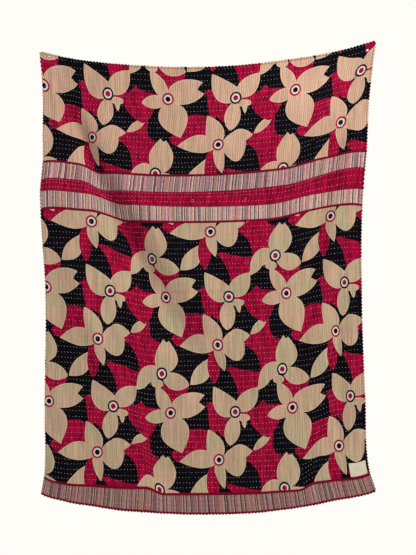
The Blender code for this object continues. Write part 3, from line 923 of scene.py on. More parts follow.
def screen_printed_cotton(name, colours):
    """Screen-printed cotton, woven from uneven yarns and washed thin.

    It is matt. Pale ribs of thicker warp run down the cream, and the crimson and the deep black ink
    are painted lighter and darker, as the shade of the gathers that the stitches draw up.
    """
    made, tree = new_material(name)
    flat = flat_cloth(tree)
    across, down = list(add(tree, "SeparateXYZ", flat).node.outputs)[:2]
    band_middle = 500.0 * (BAND_TOP + BAND_BOTTOM)
    above = add(tree, "Math", down, band_middle, operation="LESS_THAN")
    place = print_place(tree, flat, across, down, above)

    group = leaf_group()
    under, dark, over, leaf, petal, notch = (
        leaves(tree, group, place, table)
        for table in (CRIMSON_GROUND, DARK_LEAVES, CRIMSON_LEAVES, CREAM_LEAVES, CREAM_PETALS,
                      PETAL_NOTCHES))
    crimson = add(tree, "Math", cut_out(tree, under, dark), over, operation="MAXIMUM")
    cream = add(tree, "Math", cut_out(tree, petal, notch), cut_out(tree, leaf, over),
                operation="MAXIMUM")

    # The yarns are 0.3 mm wide. They and the gathers are drawn 4 to 7 mm wide, because finer ones
    # don't show. A pale rib of thicker warps comes every 8 mm, plainer above the bands.
    yarn = grain(tree, flat, 4.4, 120.0, 1.3)
    turn = add(tree, "Math", across, 2.0 * np.pi / RIB_PITCH, operation="MULTIPLY")
    turn = add(tree, "Math", grain(tree, flat, 70.0, 90.0, 6.6), 16.0, turn, operation="MULTIPLY_ADD")
    plain = add(tree, "Math", above, 0.10, 0.07, operation="MULTIPLY_ADD")
    ribs = add(tree, "Math", add(tree, "Math", turn, operation="SINE"), plain, yarn,
               operation="MULTIPLY_ADD")
    weft = grain(tree, flat, 90.0, 4.4, 5.1)
    gathers = grain(tree, flat, 7.0, 36.0, 9.4, 1.0)
    patchy = grain(tree, flat, 120.0, 150.0, 7.9)
    faded = grain(tree, flat, 260.0, 330.0, 2.2)

    washed = add(tree, "MapRange", patchy, 0.42, 0.60, 0.25, 1.0)
    washed = add(tree, "Math", washed, above, operation="SUBTRACT", use_clamp=True)
    cream_cloth = add(tree, "Mix", washed, colours.cream, colours.cream_green, data_type="RGBA")
    cream_cloth = uneven(tree, cream_cloth, ribs, 0.78, 1.24)
    # Painted shade: the crimson and the black are lighter and darker along the gathers between
    # stitches.
    crimson_with_gather_shade = uneven(tree, colours.crimson, gathers, 0.60, 1.42)
    crimson_with_gather_shade = uneven(tree, crimson_with_gather_shade, yarn, 0.86, 1.12)
    dark_with_gather_shade = uneven(tree, colours.dark, gathers, 0.70, 1.30)

    colour = printed(tree, crimson, dark_with_gather_shade, crimson_with_gather_shade)
    colour = printed(tree, cream, colour, colours.cream_light)
    colour = printed(tree, cream, colour, cream_cloth, 1.2, 2.6)
    for ring_is_dark, ring, dot in ((False, crimson_with_gather_shade, dark_with_gather_shade),
                                    (True, dark_with_gather_shade, crimson_with_gather_shade)):
        distance = flower_distance(tree, place, ring_is_dark)
        for radius, disc in ((RING_RADIUS, ring), (EYE_RADIUS, colours.eye), (DOT_RADIUS, dot)):
            inside = add(tree, "Math", radius, distance, operation="SUBTRACT")
            colour = printed(tree, inside, colour, disc)

    stripes = woven_stripes(tree, flat, across, down)
    stripes = uneven(tree, stripes, yarn, 0.84, 1.14)
    # Blotches of uneven weft, together with painted shade of the gathers round the stitches.
    stripes = uneven(tree, stripes, grain(tree, flat, 7.0, 9.0, 8.1), 0.80, 1.20)
    crimson_middle = 500.0 * (CRIMSON_TOP + CRIMSON_BOTTOM)
    lower = add(tree, "Math", down, crimson_middle, operation="GREATER_THAN")
    stripes = add(tree, "Mix", lower, stripes, linear(LOWER_BAND_TINT), data_type="RGBA",
                  blend_type="SOFT_LIGHT")
    in_border = add(tree, "Math", down, 1000.0 * BORDER_DOWN, operation="GREATER_THAN")
    stripes = add(tree, "Mix", in_border, stripes, linear(BORDER_TINT), data_type="RGBA",
                  blend_type="MULTIPLY")
    in_band = add(tree, "Math", apart(tree, down, band_middle), 500.0 * (BAND_BOTTOM - BAND_TOP),
                  operation="LESS_THAN")
    striped = add(tree, "Math", in_band, in_border, operation="MAXIMUM")
    colour = add(tree, "Mix", striped, colour, stripes, data_type="RGBA")

    # Overcast stitches draw each edge beside the stripes into small scallops.
    turn = add(tree, "Math", across, np.pi / SCALLOP_PITCH, operation="MULTIPLY")
    scallop = add(tree, "Math", add(tree, "Math", turn, operation="SINE"), operation="ABSOLUTE")
    off = add(tree, "Math", scallop, -1.6, apart(tree, down, crimson_middle),
              operation="MULTIPLY_ADD")
    inside = add(tree, "Math", 500.0 * (CRIMSON_BOTTOM - CRIMSON_TOP), off, operation="SUBTRACT")
    colour = printed(tree, inside, colour, colours.maroon, -2.6, -1.6)
    colour = printed(tree, inside, colour, crimson_with_gather_shade, -0.2, 0.8)
    piping = uneven(tree, colours.maroon, yarn, 0.8, 1.2)
    for line, half_width in SEAM_LINES:
        off = add(tree, "Math", scallop, -0.8, apart(tree, down, 1000.0 * line),
                  operation="MULTIPLY_ADD")
        inside = add(tree, "Math", half_width, off, operation="SUBTRACT")
        colour = printed(tree, inside, colour, piping)
    colour = uneven(tree, colour, faded, 0.93, 1.06)

    rough = add(tree, "MapRange", yarn, 0.25, 0.75, 0.82, 0.95)
    height = add(tree, "Math", gathers, 3.0, ribs, operation="MULTIPLY_ADD")
    height = add(tree, "Math", weft, 0.6, height, operation="MULTIPLY_ADD")
    finish_material(tree, colour, rough, height, 0.6, 0.0007, {"Specular IOR Level": 0.04})
    return made


def piece_dyed_cotton(name, colours):
    """Plain-woven cotton, piece-dyed and washed: matt, a little paler in faded patches."""
    made, tree = new_material(name)
    flat = flat_cloth(tree)
    # Yarns of 0.3 mm, drawn ten times as coarse, and the gathers between two stitches.
    yarn = grain(tree, flat, 3.0, 50.0, 4.4, 3.0)
    weft = grain(tree, flat, 60.0, 3.0, 6.1)
    gathers = grain(tree, flat, 6.2, 30.0, 8.8, 1.0)
    faded = grain(tree, flat, 180.0, 240.0, 1.7)
    colour = uneven(tree, colours.backing, yarn, 0.84, 1.16)
    # Painted shade of the gathers between stitches, on top of their bump.
    colour = uneven(tree, colour, gathers, 0.84, 1.16)
    share = add(tree, "MapRange", faded, 0.45, 0.75, 0.0, 0.22)
    colour = add(tree, "Mix", share, colour, linear(FADED_BACKING), data_type="RGBA")
    height = add(tree, "Math", yarn, weft, operation="ADD")
    height = add(tree, "Math", gathers, 2.4, height, operation="MULTIPLY_ADD")
    rough = add(tree, "MapRange", yarn, 0.25, 0.75, 0.82, 0.94)
    finish_material(tree, colour, rough, height, 0.5, 0.0007,
                    {"Sheen Weight": 0.02, "Sheen Roughness": 0.5, "Specular IOR Level": 0.10})
    return made


def spun_thread(name, thread_colour, darkest, palest):
    """Two-ply spun cotton: matt, twisted, its tone a little different in every stitch."""
    made, tree = new_material(name)
    tone = add(tree, "Attribute", attribute_name="tone").node.outputs["Fac"]
    place = add(tree, "TexCoord").node.outputs["Object"]
    # A ply turns every millimetre.
    twist = add(tree, "TexNoise", named={"Vector": place, "Scale": 900.0, "Detail": 1.0})
    shade = add(tree, "MapRange", tone, 0.0, 1.0, darkest, palest)
    colour = add(tree, "Mix", 1.0, thread_colour, shade, data_type="RGBA", blend_type="MULTIPLY")
    colour = uneven(tree, colour, twist, 0.90, 1.06)
    rough = add(tree, "MapRange", twist, 0.3, 0.7, 0.72, 0.88)
    finish_material(tree, colour, rough, twist, 0.4, 0.0002,
                    {"Sheen Weight": 0.15, "Sheen Roughness": 0.5, "Specular IOR Level": 0.3})
    return made


def bleached_thread(name, colours):
    """Bleached spun cotton, greyed by wear: each stitch shows as a pale dot."""
    return spun_thread(name, colours.thread, 0.55, 1.05)


def maroon_thread(name, colours):
    """Dyed spun cotton, laid close along edges and seams: a darker dotted line."""
    return spun_thread(name, colours.maroon, 0.55, 1.15)


def unbleached_tape(name, colours):
    """Unbleached twill tape: matt, creamy, with a fine even rib and a bare face."""
    made, tree = new_material(name)
    flat = flat_cloth(tree)
    # The real rib is 0.4 mm wide. It is drawn 4.4 mm wide, so that it shows.
    rib = add(tree, "TexWave", named={"Vector": flat, "Scale": 0.1, "Distortion": 0.6,
                                      "Detail Scale": 0.2}, bands_direction="DIAGONAL")
    slub = grain(tree, flat, 18.0, 1.4, 3.3)
    patchy = grain(tree, flat, 26.0, 20.0, 5.5)
    colour = uneven(tree, colours.label, slub, 0.90, 1.06)
    colour = uneven(tree, colour, patchy, 0.93, 1.04)
    colour = uneven(tree, colour, rib, 0.94, 1.03)
    height = add(tree, "Math", rib, slub, operation="ADD")
    rough = add(tree, "MapRange", slub, 0.25, 0.75, 0.78, 0.92)
    finish_material(tree, colour, rough, height, 0.4, 0.0003,
                    {"Sheen Weight": 0.1, "Sheen Roughness": 0.5, "Specular IOR Level": 0.3})
    return made


def plated_steel(name, colours):
    """Nickel-plated pressed steel: bright, softly mirrored, with hair scratches from handling."""
    made, tree = new_material(name)
    place = add(tree, "TexCoord").node.outputs["Object"]
    worn = add(tree, "TexNoise", named={"Vector": place, "Scale": 420.0, "Detail": 3.0})
    # Scratches are about 0.4 mm wide and 4 mm long.
    drawn = add(tree, "VectorMath", place, (2600.0, 300.0, 260.0), operation="MULTIPLY")
    scratch = add(tree, "TexNoise", named={"Vector": drawn, "Scale": 1.0, "Detail": 2.0})
    colour = uneven(tree, colours.steel, worn, 0.88, 1.03)
    both = add(tree, "Math", worn, scratch, operation="ADD")
    rough = add(tree, "MapRange", both, 0.7, 1.3, 0.20, 0.38)
    finish_material(tree, colour, rough, scratch, 0.12, 0.0001, {"Metallic": 1.0})
    return made


def painted_floor(name, colours):
    """Matt emulsion on a smooth floor: pale and even, with a faint roller grain of 17 mm."""
    made, tree = new_material(name)
    place = add(tree, "TexCoord").node.outputs["Object"]
    roller = add(tree, "TexNoise", named={"Vector": place, "Scale": 60.0, "Detail": 3.0})
    colour = uneven(tree, colours.floor, roller, 0.985, 1.015)
    rough = add(tree, "MapRange", roller, 0.3, 0.7, 0.62, 0.72)
    finish_material(tree, colour, rough, roller, 0.1, 0.0005, {})
    return made


def finish_of(make):
    """Give a material, made on its first use."""
    return (bpy.data.materials.get(make.__name__)
            or make(make.__name__, bpy.context.scene.quilt_colours))


# ---- the cloth's two faces, and threads on them --------------------------------------------

class QuiltFaces:
    """The quilt's two faces as their meshes have them, so that threads lie right on them.

    The rows of the mesh run along the rows of stitching, with others between them.
    """

    def __init__(self, sizes):
        self.places, self.phases = stitch_rows(sizes.row_spacing)
        self.across = np.linspace(EDGE_INSET, QUILT_WIDTH - EDGE_INSET, FRONT_COLUMNS + 1)
        lines = [np.full_like(self.across, EDGE_INSET)]
        lines += [row_down(place, self.phases[:, row], self.across)
                  for row, place in enumerate(self.places)]
        lines.append(np.full_like(self.across, QUILT_LENGTH - EDGE_INSET))
        steps = [TOP_STEPS] + [ROW_STEPS] * (len(lines) - 2)
        down = [lines[0]]
        for upper, lower, count in zip(lines, lines[1:], steps):
            down += [upper + (lower - upper) * step / count for step in range(1, count + 1)]
        self.down = np.array(down)
        across = np.broadcast_to(self.across, self.down.shape)
        self.points = {side: hung_cloth().at(across, self.down,
                                             face_height(across, self.down, sizes, side))
                       for side in (1.0, -1.0)}

    def on_row(self, row, across, side):
        """Points of a row of stitches at each across, on the mesh itself."""
        step = 1 if side > 0 else BACK_STEP
        line = self.points[side][TOP_STEPS + ROW_STEPS * row, ::step]
        return np.stack([np.interp(across, self.across[::step], line[:, axis])
                         for axis in range(3)], axis=-1)


@functools.cache
def quilt_faces():
    return QuiltFaces(bpy.context.scene.quilt_sizes)


def add_tones(thing, tones, points_each):
    """Give every thread of a piece its own tone, which its material reads."""
    layer = thing.data.attributes.new("tone", "FLOAT", "POINT")
    layer.data.foreach_set("value", np.repeat(tones, points_each).astype(np.float32))


def stitch_tubes(ends, side, radius, rings, sides, rise, on_face):
    """Points of stitches between ends of (stitch, 2, 2) across and down, on a face of the quilt."""
    share = np.concatenate([[0.0], np.linspace(0.16, 0.84, rings), [1.0]])
    arch = np.sin(np.pi * share)
    across = ends[:, :1, 0] + (ends[:, 1:, 0] - ends[:, :1, 0]) * share
    down = ends[:, :1, 1] + (ends[:, 1:, 1] - ends[:, :1, 1]) * share
    cloth = hung_cloth()
    up = side * unit(cloth.read(cloth.front, across, down))
    path = on_face(across, down) + up * (rise * arch - 0.6 * radius * (1.0 - arch))[:, None]
    along = unit(np.gradient(path, axis=1))
    aside = unit(np.cross(up, along))
    thickness = np.broadcast_to(radius * (0.72 + 0.28 * arch), across.shape)
    return thread_points(path, thickness, aside, up, sides)


def on_front(across, down):
    """Points on the front of the quilt."""
    sizes = bpy.context.scene.quilt_sizes
    return hung_cloth().at(across, down, face_height(across, down, sizes, 1.0))


def add_threads(name, points, rings, sides, material, seed, closed=False):
    """Make one piece of many threads alike, each with its own tone."""
    count, points_each = points.shape[:2]
    thing = add_piece(name, points, tube_faces(count, rings, sides, closed), [material])
    add_tones(thing, np.random.default_rng(seed).uniform(0.0, 1.0, count), points_each)
    return thing


# ---- the pieces, each made by its operator -----------------------------------------------

class QUILT_OT_studio(bpy.types.Operator):
    """Set up the floor, the soft light, the white surround and the camera"""
    bl_idname = "quilt.studio"
    bl_label = "Studio"

    def execute(self, context):
        camera = bpy.data.objects.new("camera", bpy.data.cameras.new("camera"))
        camera.location = CAMERA_PLACE
        camera.rotation_euler = (np.pi / 2, 0.0, 0.0)
        camera.data.lens = CAMERA_LENS
        context.collection.objects.link(camera)
        context.scene.camera = camera

        for name, place, width, power, tint in LIGHTS:
            light = bpy.data.lights.new(name, "AREA")
            light.shape = "DISK"
            light.size = width
            light.energy = power
            light.color = linear(tint)[:3]
            lamp = bpy.data.objects.new(name, light)
            lamp.location = place
            aim = Vector(LIGHTS_AIM) - lamp.location
            lamp.rotation_euler = aim.to_track_quat("-Z", "Y").to_euler()
            context.collection.objects.link(lamp)

        surround = bpy.data.worlds.new("white surround")
        surround.use_nodes = True
        tree = surround.node_tree
        tree.nodes.clear()
        lit, seen = (add(tree, "Background", linear(SURROUND), strength)
                     for strength in (SURROUND_LIGHT, 1.0))
        to_camera = add(tree, "LightPath")
        add(tree, "OutputWorld", add(tree, "MixShader", to_camera, lit, seen))
        context.scene.world = surround
        context.scene.view_settings.view_transform = "Standard"

        shape = bmesh.new()
        bmesh.ops.create_circle(shape, cap_ends=True, segments=96, radius=FLOOR_RADIUS)
        bmesh.ops.translate(shape, verts=shape.verts, vec=FLOOR_PLACE)
        mesh = bpy.data.meshes.new("floor")
        shape.to_mesh(mesh)
        shape.free()
        mesh.materials.append(finish_of(painted_floor))
        floor = bpy.data.objects.new("floor", mesh)
        context.collection.objects.link(floor)
        return {"FINISHED"}


class QUILT_OT_cloth(bpy.types.Operator):
    """Make the layered cloth: its printed front, its plain back and the fold between them"""
    bl_idname = "quilt.cloth"
    bl_label = "Quilt"

    def execute(self, context):
        faces = quilt_faces()
        front = faces.points[1.0]
        back = faces.points[-1.0][::BACK_STEP, ::BACK_STEP]
        front_rows, columns = front.shape[0] - 1, front.shape[1] - 1
        back_rows, back_columns = back.shape[0] - 1, back.shape[1] - 1
        first_back = front.shape[0] * front.shape[1]
        front_faces = grid_faces(columns, front_rows)
        back_faces = grid_faces(back_columns, back_rows, first_back, turned=True)

        # Join the edges of both faces, three triangles for each cell of the back.
        outline = grid_outline(columns, front_rows)
        fold_faces = []
        for place in range(0, len(outline), BACK_STEP):
            near = [outline[(place + step) % len(outline)] for step in range(BACK_STEP + 1)]
            on_front = [row * (columns + 1) + column for row, column in near]
            on_back = [first_back + row // BACK_STEP * (back_columns + 1) + column // BACK_STEP
                       for row, column in (near[0], near[-1])]
            fold_faces += [(on_front[0], on_front[1], on_back[0]),
                           (on_front[1], on_front[2], on_back[1]),
                           (on_front[1], on_back[1], on_back[0])]

        across = np.broadcast_to(faces.across, faces.down.shape)
        cloth_uv = np.stack([across, faces.down], axis=-1)
        cloth_uv = np.concatenate([cloth_uv.reshape(-1, 2),
                                   cloth_uv[::BACK_STEP, ::BACK_STEP].reshape(-1, 2)])
        # A UV map for baking the looks into: the front takes most of the picture.
        bake_uv = cloth_uv / (QUILT_WIDTH, QUILT_LENGTH)
        bake_uv = np.where(np.arange(len(bake_uv))[:, None] < first_back,
                           bake_uv * (0.760, 0.984) + (0.008, 0.008),
                           bake_uv * (0.208, 0.984) + (0.784, 0.008))
        all_faces = front_faces.tolist() + back_faces.tolist() + fold_faces
        corners = np.concatenate([front_faces.ravel(), back_faces.ravel(), np.ravel(fold_faces)])
        bake_corners = bake_uv[corners]
        fold_start = front_faces.size + back_faces.size
        round_edge = np.arange(len(fold_faces) * 3) // 9 / (len(fold_faces) / 3)
        bake_corners[fold_start:, 0] = 0.772 + 0.008 * np.tile([0.0, 0.0, 1.0, 0.0, 0.0, 1.0, 0.0,
                                                                1.0, 1.0], len(fold_faces) // 3)
        ahead = np.tile([0.0, 0.5, 0.0, 0.5, 1.0, 1.0, 0.5, 1.0, 0.0], len(fold_faces) // 3)
        bake_corners[fold_start:, 1] = 0.008 + 0.984 * (round_edge
                                                        + ahead / (len(fold_faces) / 3))
        quilt = add_piece("quilt_cloth", np.concatenate([front.reshape(-1, 3), back.reshape(-1, 3)]),
                          all_faces, [finish_of(screen_printed_cotton), finish_of(piece_dyed_cotton)],
                          {"cloth": cloth_uv[corners], "OFBake": bake_corners})
        slots = np.zeros(len(all_faces), dtype=np.int32)
        slots[len(front_faces):len(front_faces) + len(back_faces)] = 1
        quilt.data.polygons.foreach_set("material_index", slots)
        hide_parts("quilt")
        return {"FINISHED"}


class QUILT_OT_running_stitches(bpy.types.Operator):
    """Sew the rows of running stitch through the layers, with their thread on both faces"""
    bl_idname = "quilt.running_stitches"
    bl_label = "Running stitches"

    def execute(self, context):
        sizes = context.scene.quilt_sizes
        faces = quilt_faces()
        random = np.random.default_rng(SEED + 10)
        (label_left, _), (label_top, label_bottom) = label_span()
        # The rings and sides of each piece's threads: the back's are plainer.
        shapes = {"running_stitches_upper": (3, 5), "running_stitches_lower": (3, 5),
                  "running_stitches_back": (2, 4)}
        sewn = {name: [] for name in shapes}
        phase = 0.0
        for row, place in enumerate(faces.places):
            if min(abs(place - seam) for seam in (BAND_TOP, BAND_BOTTOM, BORDER_DOWN)) < SEAM_CLEAR:
                continue
            phase += random.normal(0.0, 0.11)
            start = np.arange(FIRST_STITCH + (phase % 1.0) * sizes.stitch_pitch,
                              QUILT_WIDTH - LAST_STITCH, sizes.stitch_pitch)
            count = len(start)
            start = start + random.normal(0.0, STITCH_WANDER, count)
            length = sizes.stitch_length * random.normal(1.0, 0.10, count)
            under = sizes.stitch_pitch - length
            kept = random.uniform(0.0, 1.0, count) > MISSING_STITCHES
            lean = random.normal(0.0, STITCH_LEAN, (count, 2))
            part = "upper" if row < len(faces.places) // 2 else "lower"
            for name, first, last, side in (
                    (f"running_stitches_{part}", start, start + length, 1.0),
                    ("running_stitches_back", start + length + STITCH_HOLE,
                     start + length + under - STITCH_HOLE, -1.0)):
                shown = kept & (last < QUILT_WIDTH - 0.006)
                if side > 0 and label_top - 0.004 < place < label_bottom + 0.004:
                    shown &= last < label_left - 0.003
                ends = np.array([[first, place + lean[:, 0]],
                                 [last, place + lean[:, 1]]]).transpose(2, 0, 1)[shown]

                def on_face(across, down, row=row, side=side):
                    on_line = faces.on_row(row, across, side)
                    aside = hung_cloth().read(hung_cloth().fall, across, down)
                    off = (down - faces.places[row])[..., None]
                    return on_line + aside * off

                sewn[name].append(stitch_tubes(ends, side, 0.5 * sizes.thread, *shapes[name],
                                               0.45 * sizes.thread, on_face))
        for number, (name, tubes) in enumerate(sewn.items()):
            thing = add_threads(name, np.concatenate(tubes), *shapes[name],
                                finish_of(bleached_thread), SEED + 20 + number)
        return {"FINISHED"}


def hem_line(sizes):
    """The hem's line round the quilt: places along it, and their across and down."""
    left = top = HEM_INSET
    right, bottom = QUILT_WIDTH - HEM_INSET, QUILT_LENGTH - HEM_INSET
    sides = ((left + HEM_CORNER, top, right - HEM_CORNER, top),
             (right, top + HEM_CORNER, right, bottom - HEM_CORNER),
             (right - HEM_CORNER, bottom, left + HEM_CORNER, bottom),
             (left, bottom - HEM_CORNER, left, top + HEM_CORNER))
    knots = []
    for x0, y0, x1, y1 in sides:
        knots += [(x0, y0), (x1, y1)]
        ahead = unit(np.array([x1 - x0, y1 - y0]))
        turned = np.array([-ahead[1], ahead[0]])
        for step in range(1, 5):
            angle = 0.5 * np.pi * step / 5
            bend = np.sin(angle) * ahead + (1.0 - np.cos(angle)) * turned
            knots.append(tuple(np.array([x1, y1]) + HEM_CORNER * bend))
    knots.append(knots[0])
    knots = np.array(knots)
    lengths = np.concatenate([[0.0], np.cumsum(np.linalg.norm(np.diff(knots, axis=0), axis=1))])
    count = round(lengths[-1] / sizes.hem_pitch)

    def at(beads):
        along = np.asarray(beads) / count % 1.0 * lengths[-1]
        return np.interp(along, lengths, knots[:, 0]), np.interp(along, lengths, knots[:, 1])
    return count, at


def hem_frame(at, beads):
    """Points along the hem with their directions: along it, outward and to the front."""
    step = 0.12
    cloth = hung_cloth()
    across, down = at(beads)
    sizes = bpy.context.scene.quilt_sizes
    middle = 0.5 * (face_height(across, down, sizes, 1.0) + face_height(across, down, sizes, -1.0))
    centre = cloth.at(across, down, middle)
    before, after = (cloth.at(*at(np.asarray(beads) + shift), 0.0) for shift in (-step, step))
    front = unit(cloth.read(cloth.front, across, down))
    along = unit(after - before)
    outward = unit(np.cross(front, along))
    return centre, along, outward, unit(np.cross(along, outward)), across, down


class QUILT_OT_hem(bpy.types.Operator):
    """Roll the turned hem into beads between its overcast stitches, and lay their thread"""
    bl_idname = "quilt.hem"
    bl_label = "Overcast hem"

    def execute(self, context):
        sizes = context.scene.quilt_sizes
        count, at = hem_line(sizes)
        random = np.random.default_rng(SEED + 30)
        rings_each, sides = 6, 8
        plump = np.repeat(random.normal(1.0, 0.09, count), rings_each)
        beads = np.arange(count * rings_each) / rings_each
        centre, _, outward, front, across, down = hem_frame(at, beads)
        bulge = abs(np.sin(np.pi * beads))**0.75
        radius = sizes.hem_radius * (HEM_NECK + (1.0 - HEM_NECK) * bulge * plump)
        turn = round_turns(sides)
        out = radius[:, None] * np.cos(turn)
        up = HEM_FLATNESS * radius[:, None] * np.sin(turn)
        points = centre[:, None] + outward[:, None] * out[..., None] + front[:, None] * up[..., None]
        faces = tube_faces(1, count * rings_each, sides, closed=True)

        # The print runs on over the roll, as it does over the cloth beside it.
        from_side, from_end, from_edge = edge_distances(across, down)
        inward = np.stack([np.sign(QUILT_WIDTH / 2 - across) * (from_side <= from_edge + 1e-9),
                           np.sign(QUILT_LENGTH / 2 - down) * (from_end <= from_edge + 1e-9)],
                          axis=-1)
        on_print = np.stack([across, down], axis=-1)[:, None] - inward[:, None] * out[..., None]
        corners = np.ravel(faces)
        roll = add_piece("hem_roll", points, faces, [finish_of(screen_printed_cotton)],
                         {"cloth": on_print.reshape(-1, 2)[corners]})

        # One loop of thread lies in each dip, round the roll and a little along it.
        stations, thread_sides = 10, 4
        centre, along, outward, front, *_ = hem_frame(at, np.arange(count))
        round_roll = round_turns(stations)
        reach = 0.26 * sizes.hem_radius + 0.42 * sizes.hem_thread
        radial = (outward[:, None] * np.cos(round_roll)[:, None]
                  + front[:, None] * np.sin(round_roll)[:, None])
        slant = random.normal(0.0009, 0.0003, count)[:, None, None]
        path = (centre[:, None] + radial * reach
                + along[:, None] * np.sin(round_roll)[:, None] * slant)
        turn = round_turns(thread_sides)
        thick = 0.5 * sizes.hem_thread
        loops = (path[:, :, None] + thick * (np.cos(turn)[:, None] * along[:, None, None]
                                             + np.sin(turn)[:, None] * radial[:, :, None]))
        loops = loops.reshape(count, -1, 3)
        thread = add_threads("hem_thread", loops, stations, thread_sides,
                             finish_of(maroon_thread), SEED + 31, closed=True)
        return {"FINISHED"}


class QUILT_OT_seam_stitches(bpy.types.Operator):
    """Sew the small slanted stitches along the seams beside the bands"""
    bl_idname = "quilt.seam_stitches"
    bl_label = "Seam stitches"

    def execute(self, context):
        sizes = context.scene.quilt_sizes
        random = np.random.default_rng(SEED + 40)
        tubes = []
        for line, length in SEAM_STITCHES:
            start = np.arange(0.006, QUILT_WIDTH - 0.006, SCALLOP_PITCH * MM)
            start = start + random.normal(0.0, 0.0005, len(start))
            tall = length * random.normal(1.0, 0.12, len(start))
            ends = np.array([[start, line - tall / 2],
                             [start + SEAM_STITCH_SLANT, line + tall / 2]]).transpose(2, 0, 1)
            tubes.append(stitch_tubes(ends, 1.0, 0.5 * sizes.hem_thread, 3, 5,
                                      0.5 * sizes.hem_thread, on_front))
        thread = add_threads("seam_stitches", np.concatenate(tubes), 3, 5,
                             finish_of(maroon_thread), SEED + 41)
        return {"FINISHED"}


class QUILT_OT_loose_threads(bpy.types.Operator):
    """Lay the few ends of thread that have worked loose"""
    bl_idname = "quilt.loose_threads"
    bl_label = "Loose threads"

    def execute(self, context):
        sizes = context.scene.quilt_sizes
        stations, sides = 26, 6
        tubes = []
        for bends in LOOSE_THREADS:
            bends = np.array(bends)
            share = np.linspace(0.0, len(bends) - 1.0, stations)
            across, down, lift = (smooth_through(range(len(bends)), bends[:, column], share)
                                  for column in range(3))
            cloth = hung_cloth()
            up = unit(cloth.read(cloth.front, across, down))
            path = (on_front(across, down) + up * (lift * MM + 0.3 * sizes.thread)[:, None])[None]
            along = unit(np.gradient(path, axis=1))
            aside = unit(np.cross(up[None], along))
            radius = np.full((1, stations), LOOSE_END * sizes.thread)
            tubes.append(thread_points(path, radius, aside, unit(np.cross(along, aside)), sides))
        thing = add_threads("loose_threads", np.concatenate(tubes), stations - 2, sides,
                            finish_of(bleached_thread), SEED + 50)
        return {"FINISHED"}


class QUILT_OT_label(bpy.types.Operator):
    """Make the bare tape label, and sew it on along its four edges"""
    bl_idname = "quilt.label"
    bl_label = "Label"

    def execute(self, context):
        (left, right), (top, bottom) = label_span()
        columns, rows = 44, 36
        u, v = np.meshgrid(np.linspace(0.0, 1.0, columns + 1), np.linspace(0.0, 1.0, rows + 1))
        across = left + (right - left) * u
        down = top + (bottom - top) * v
        in_width = np.minimum(u, 1.0 - u) * LABEL_WIDTH
        in_height = np.minimum(v, 1.0 - v) * LABEL_HEIGHT
        inset = np.minimum(in_width, in_height)
        turned_in = smooth_step(0.009, 0.006, in_width)          # the tape's ends are folded under
        sewn_down = np.exp(-((inset - LABEL_SEAM) / 0.0012)**2)
        front = (LABEL_THICKNESS * (1.0 + 0.35 * turned_in - 0.30 * sewn_down)
                 - 0.5 * LABEL_THICKNESS * np.exp(-inset / 0.0006)
                 + 0.00025 * soft_noise(across, down, 0.012, SEED + 60))
        on_cloth = QUILT_THICKNESS / 2 + LABEL_GAP
        cloth = hung_cloth()
        grids = [cloth.at(across, down, on_cloth + front), cloth.at(across, down, on_cloth)]
        first_back = grids[0].shape[0] * grids[0].shape[1]
        outline = [row * (columns + 1) + column for row, column in grid_outline(columns, rows)]
        edges = [(near, following, first_back + following, first_back + near)
                 for near, following in zip(outline, outline[1:] + outline[:1])]
        faces = (grid_faces(columns, rows).tolist()
                 + grid_faces(columns, rows, first_back, turned=True).tolist() + edges)
        cloth_uv = np.tile(np.stack([across, down], axis=-1).reshape(-1, 2), (2, 1))
        label = add_piece("label_tape", np.concatenate([grid.reshape(-1, 3) for grid in grids]),
                          faces, [finish_of(unbleached_tape)], {"cloth": cloth_uv[np.ravel(faces)]})
        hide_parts("label")

        ends = []
        for x0, y0, x1, y1 in ((left, top, right, top), (right, top, right, bottom),
                               (right, bottom, left, bottom), (left, bottom, left, top)):
            ahead = np.array([x1 - x0, y1 - y0])
            run = np.linalg.norm(ahead)
            ahead /= run
            inward = np.array([-ahead[1], ahead[0]]) * LABEL_SEAM
            starts = np.arange(LABEL_SEAM + 0.0008, run - LABEL_SEAM - LABEL_STITCH, LABEL_PITCH)
            foot = np.array([x0, y0]) + inward + ahead * starts[:, None]
            ends.append(np.stack([foot, foot + ahead * LABEL_STITCH], axis=1))
        ends = np.concatenate(ends)
        surface = on_cloth + 0.74 * LABEL_THICKNESS
        tubes = stitch_tubes(ends, 1.0, LABEL_THREAD_RADIUS, 3, 5, LABEL_STITCH_RISE,
                             lambda x, y: cloth.at(x, y, surface))
        thread = add_threads("label_stitches", tubes, 3, 5, finish_of(bleached_thread), SEED + 61)
        return {"FINISHED"}


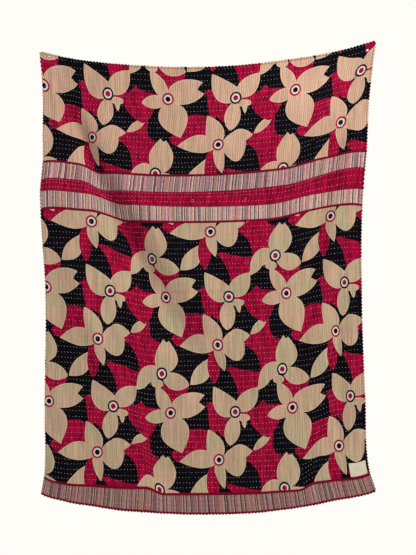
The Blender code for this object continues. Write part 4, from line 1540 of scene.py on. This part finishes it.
class QUILT_OT_pins(bpy.types.Operator):
    """Turn the two domed pins that hold the top corners"""
    bl_idname = "quilt.pins"
    bl_label = "Pins"

    def execute(self, context):
        front_y = -(STAND_OFF_AT_PIN + QUILT_THICKNESS / 2 + PIN_GAP)
        rim = 0.0005
        dome = [(PIN_HEAD_RADIUS * np.sin(turn), front_y - rim - (PIN_HEAD_HEIGHT - rim) * np.cos(turn))
                for turn in np.linspace(0.0, 0.46 * np.pi, 12)]
        profile = dome + [
            (PIN_HEAD_RADIUS, front_y - 0.8 * rim), (PIN_HEAD_RADIUS, front_y - 0.25 * rim),
            (PIN_HEAD_RADIUS - 0.3 * rim, front_y), (PIN_HEAD_RADIUS - 2.0 * rim, front_y),
            (PIN_SHANK_RADIUS * 2.0, front_y - 0.6 * rim), (PIN_SHANK_RADIUS, front_y),
            (PIN_SHANK_RADIUS, PIN_POINT_BACK - PIN_POINT_LENGTH), (0.0, PIN_POINT_BACK)]
        radius, y = np.array(profile).T
        axis = np.zeros((1, len(profile), 3))
        axis[0, :, 1] = y
        aside, up = (np.broadcast_to(way, axis.shape) for way in ((0.0, 0.0, 1.0), (1.0, 0.0, 0.0)))
        points = thread_points(axis, radius[None], aside, up, PIN_SIDES)[0]
        faces = tube_faces(1, len(profile) - 2, PIN_SIDES)
        for name, side in (("pin_left", -1.0), ("pin_right", 1.0)):
            pin = add_piece(name + "_turned", points + (side * PIN_X, 0.0, side * PIN_Z), faces,
                            [finish_of(plated_steel)])
            pin.data.set_sharp_from_angle(angle=PIN_EDGE)
            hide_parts(name)
        return {"FINISHED"}


class QUILT_PT_pieces(bpy.types.Panel):
    """Lists the quilt's pieces, sizes and colours"""
    bl_idname = "QUILT_PT_pieces"
    bl_label = "Kantha quilt"
    bl_space_type = "VIEW_3D"
    bl_region_type = "UI"
    bl_category = "Kantha quilt"

    def draw(self, context):
        for operator in OPERATORS:
            self.layout.operator(operator.bl_idname)
        for group in (context.scene.quilt_sizes, context.scene.quilt_colours):
            for name in group.bl_rna.properties.keys():
                if name not in ("rna_type", "name"):
                    self.layout.prop(group, name)


OPERATORS = (QUILT_OT_studio, QUILT_OT_cloth, QUILT_OT_running_stitches, QUILT_OT_hem,
             QUILT_OT_seam_stitches, QUILT_OT_loose_threads, QUILT_OT_label, QUILT_OT_pins)
CLASSES = (QuiltSizes, QuiltColours, *OPERATORS, QUILT_PT_pieces)


def register():
    for made in CLASSES:
        bpy.utils.register_class(made)
    bpy.types.Scene.quilt_sizes = bpy.props.PointerProperty(type=QuiltSizes)
    bpy.types.Scene.quilt_colours = bpy.props.PointerProperty(type=QuiltColours)


def unregister():
    del bpy.types.Scene.quilt_colours
    del bpy.types.Scene.quilt_sizes
    for made in reversed(CLASSES):
        bpy.utils.unregister_class(made)


def main():
    register()
    bpy.ops.quilt.studio()
    bpy.ops.quilt.cloth()
    bpy.ops.quilt.running_stitches()
    bpy.ops.quilt.hem()
    bpy.ops.quilt.seam_stitches()
    bpy.ops.quilt.loose_threads()
    bpy.ops.quilt.label()
    bpy.ops.quilt.pins()


if __name__ == "__main__":
    main()
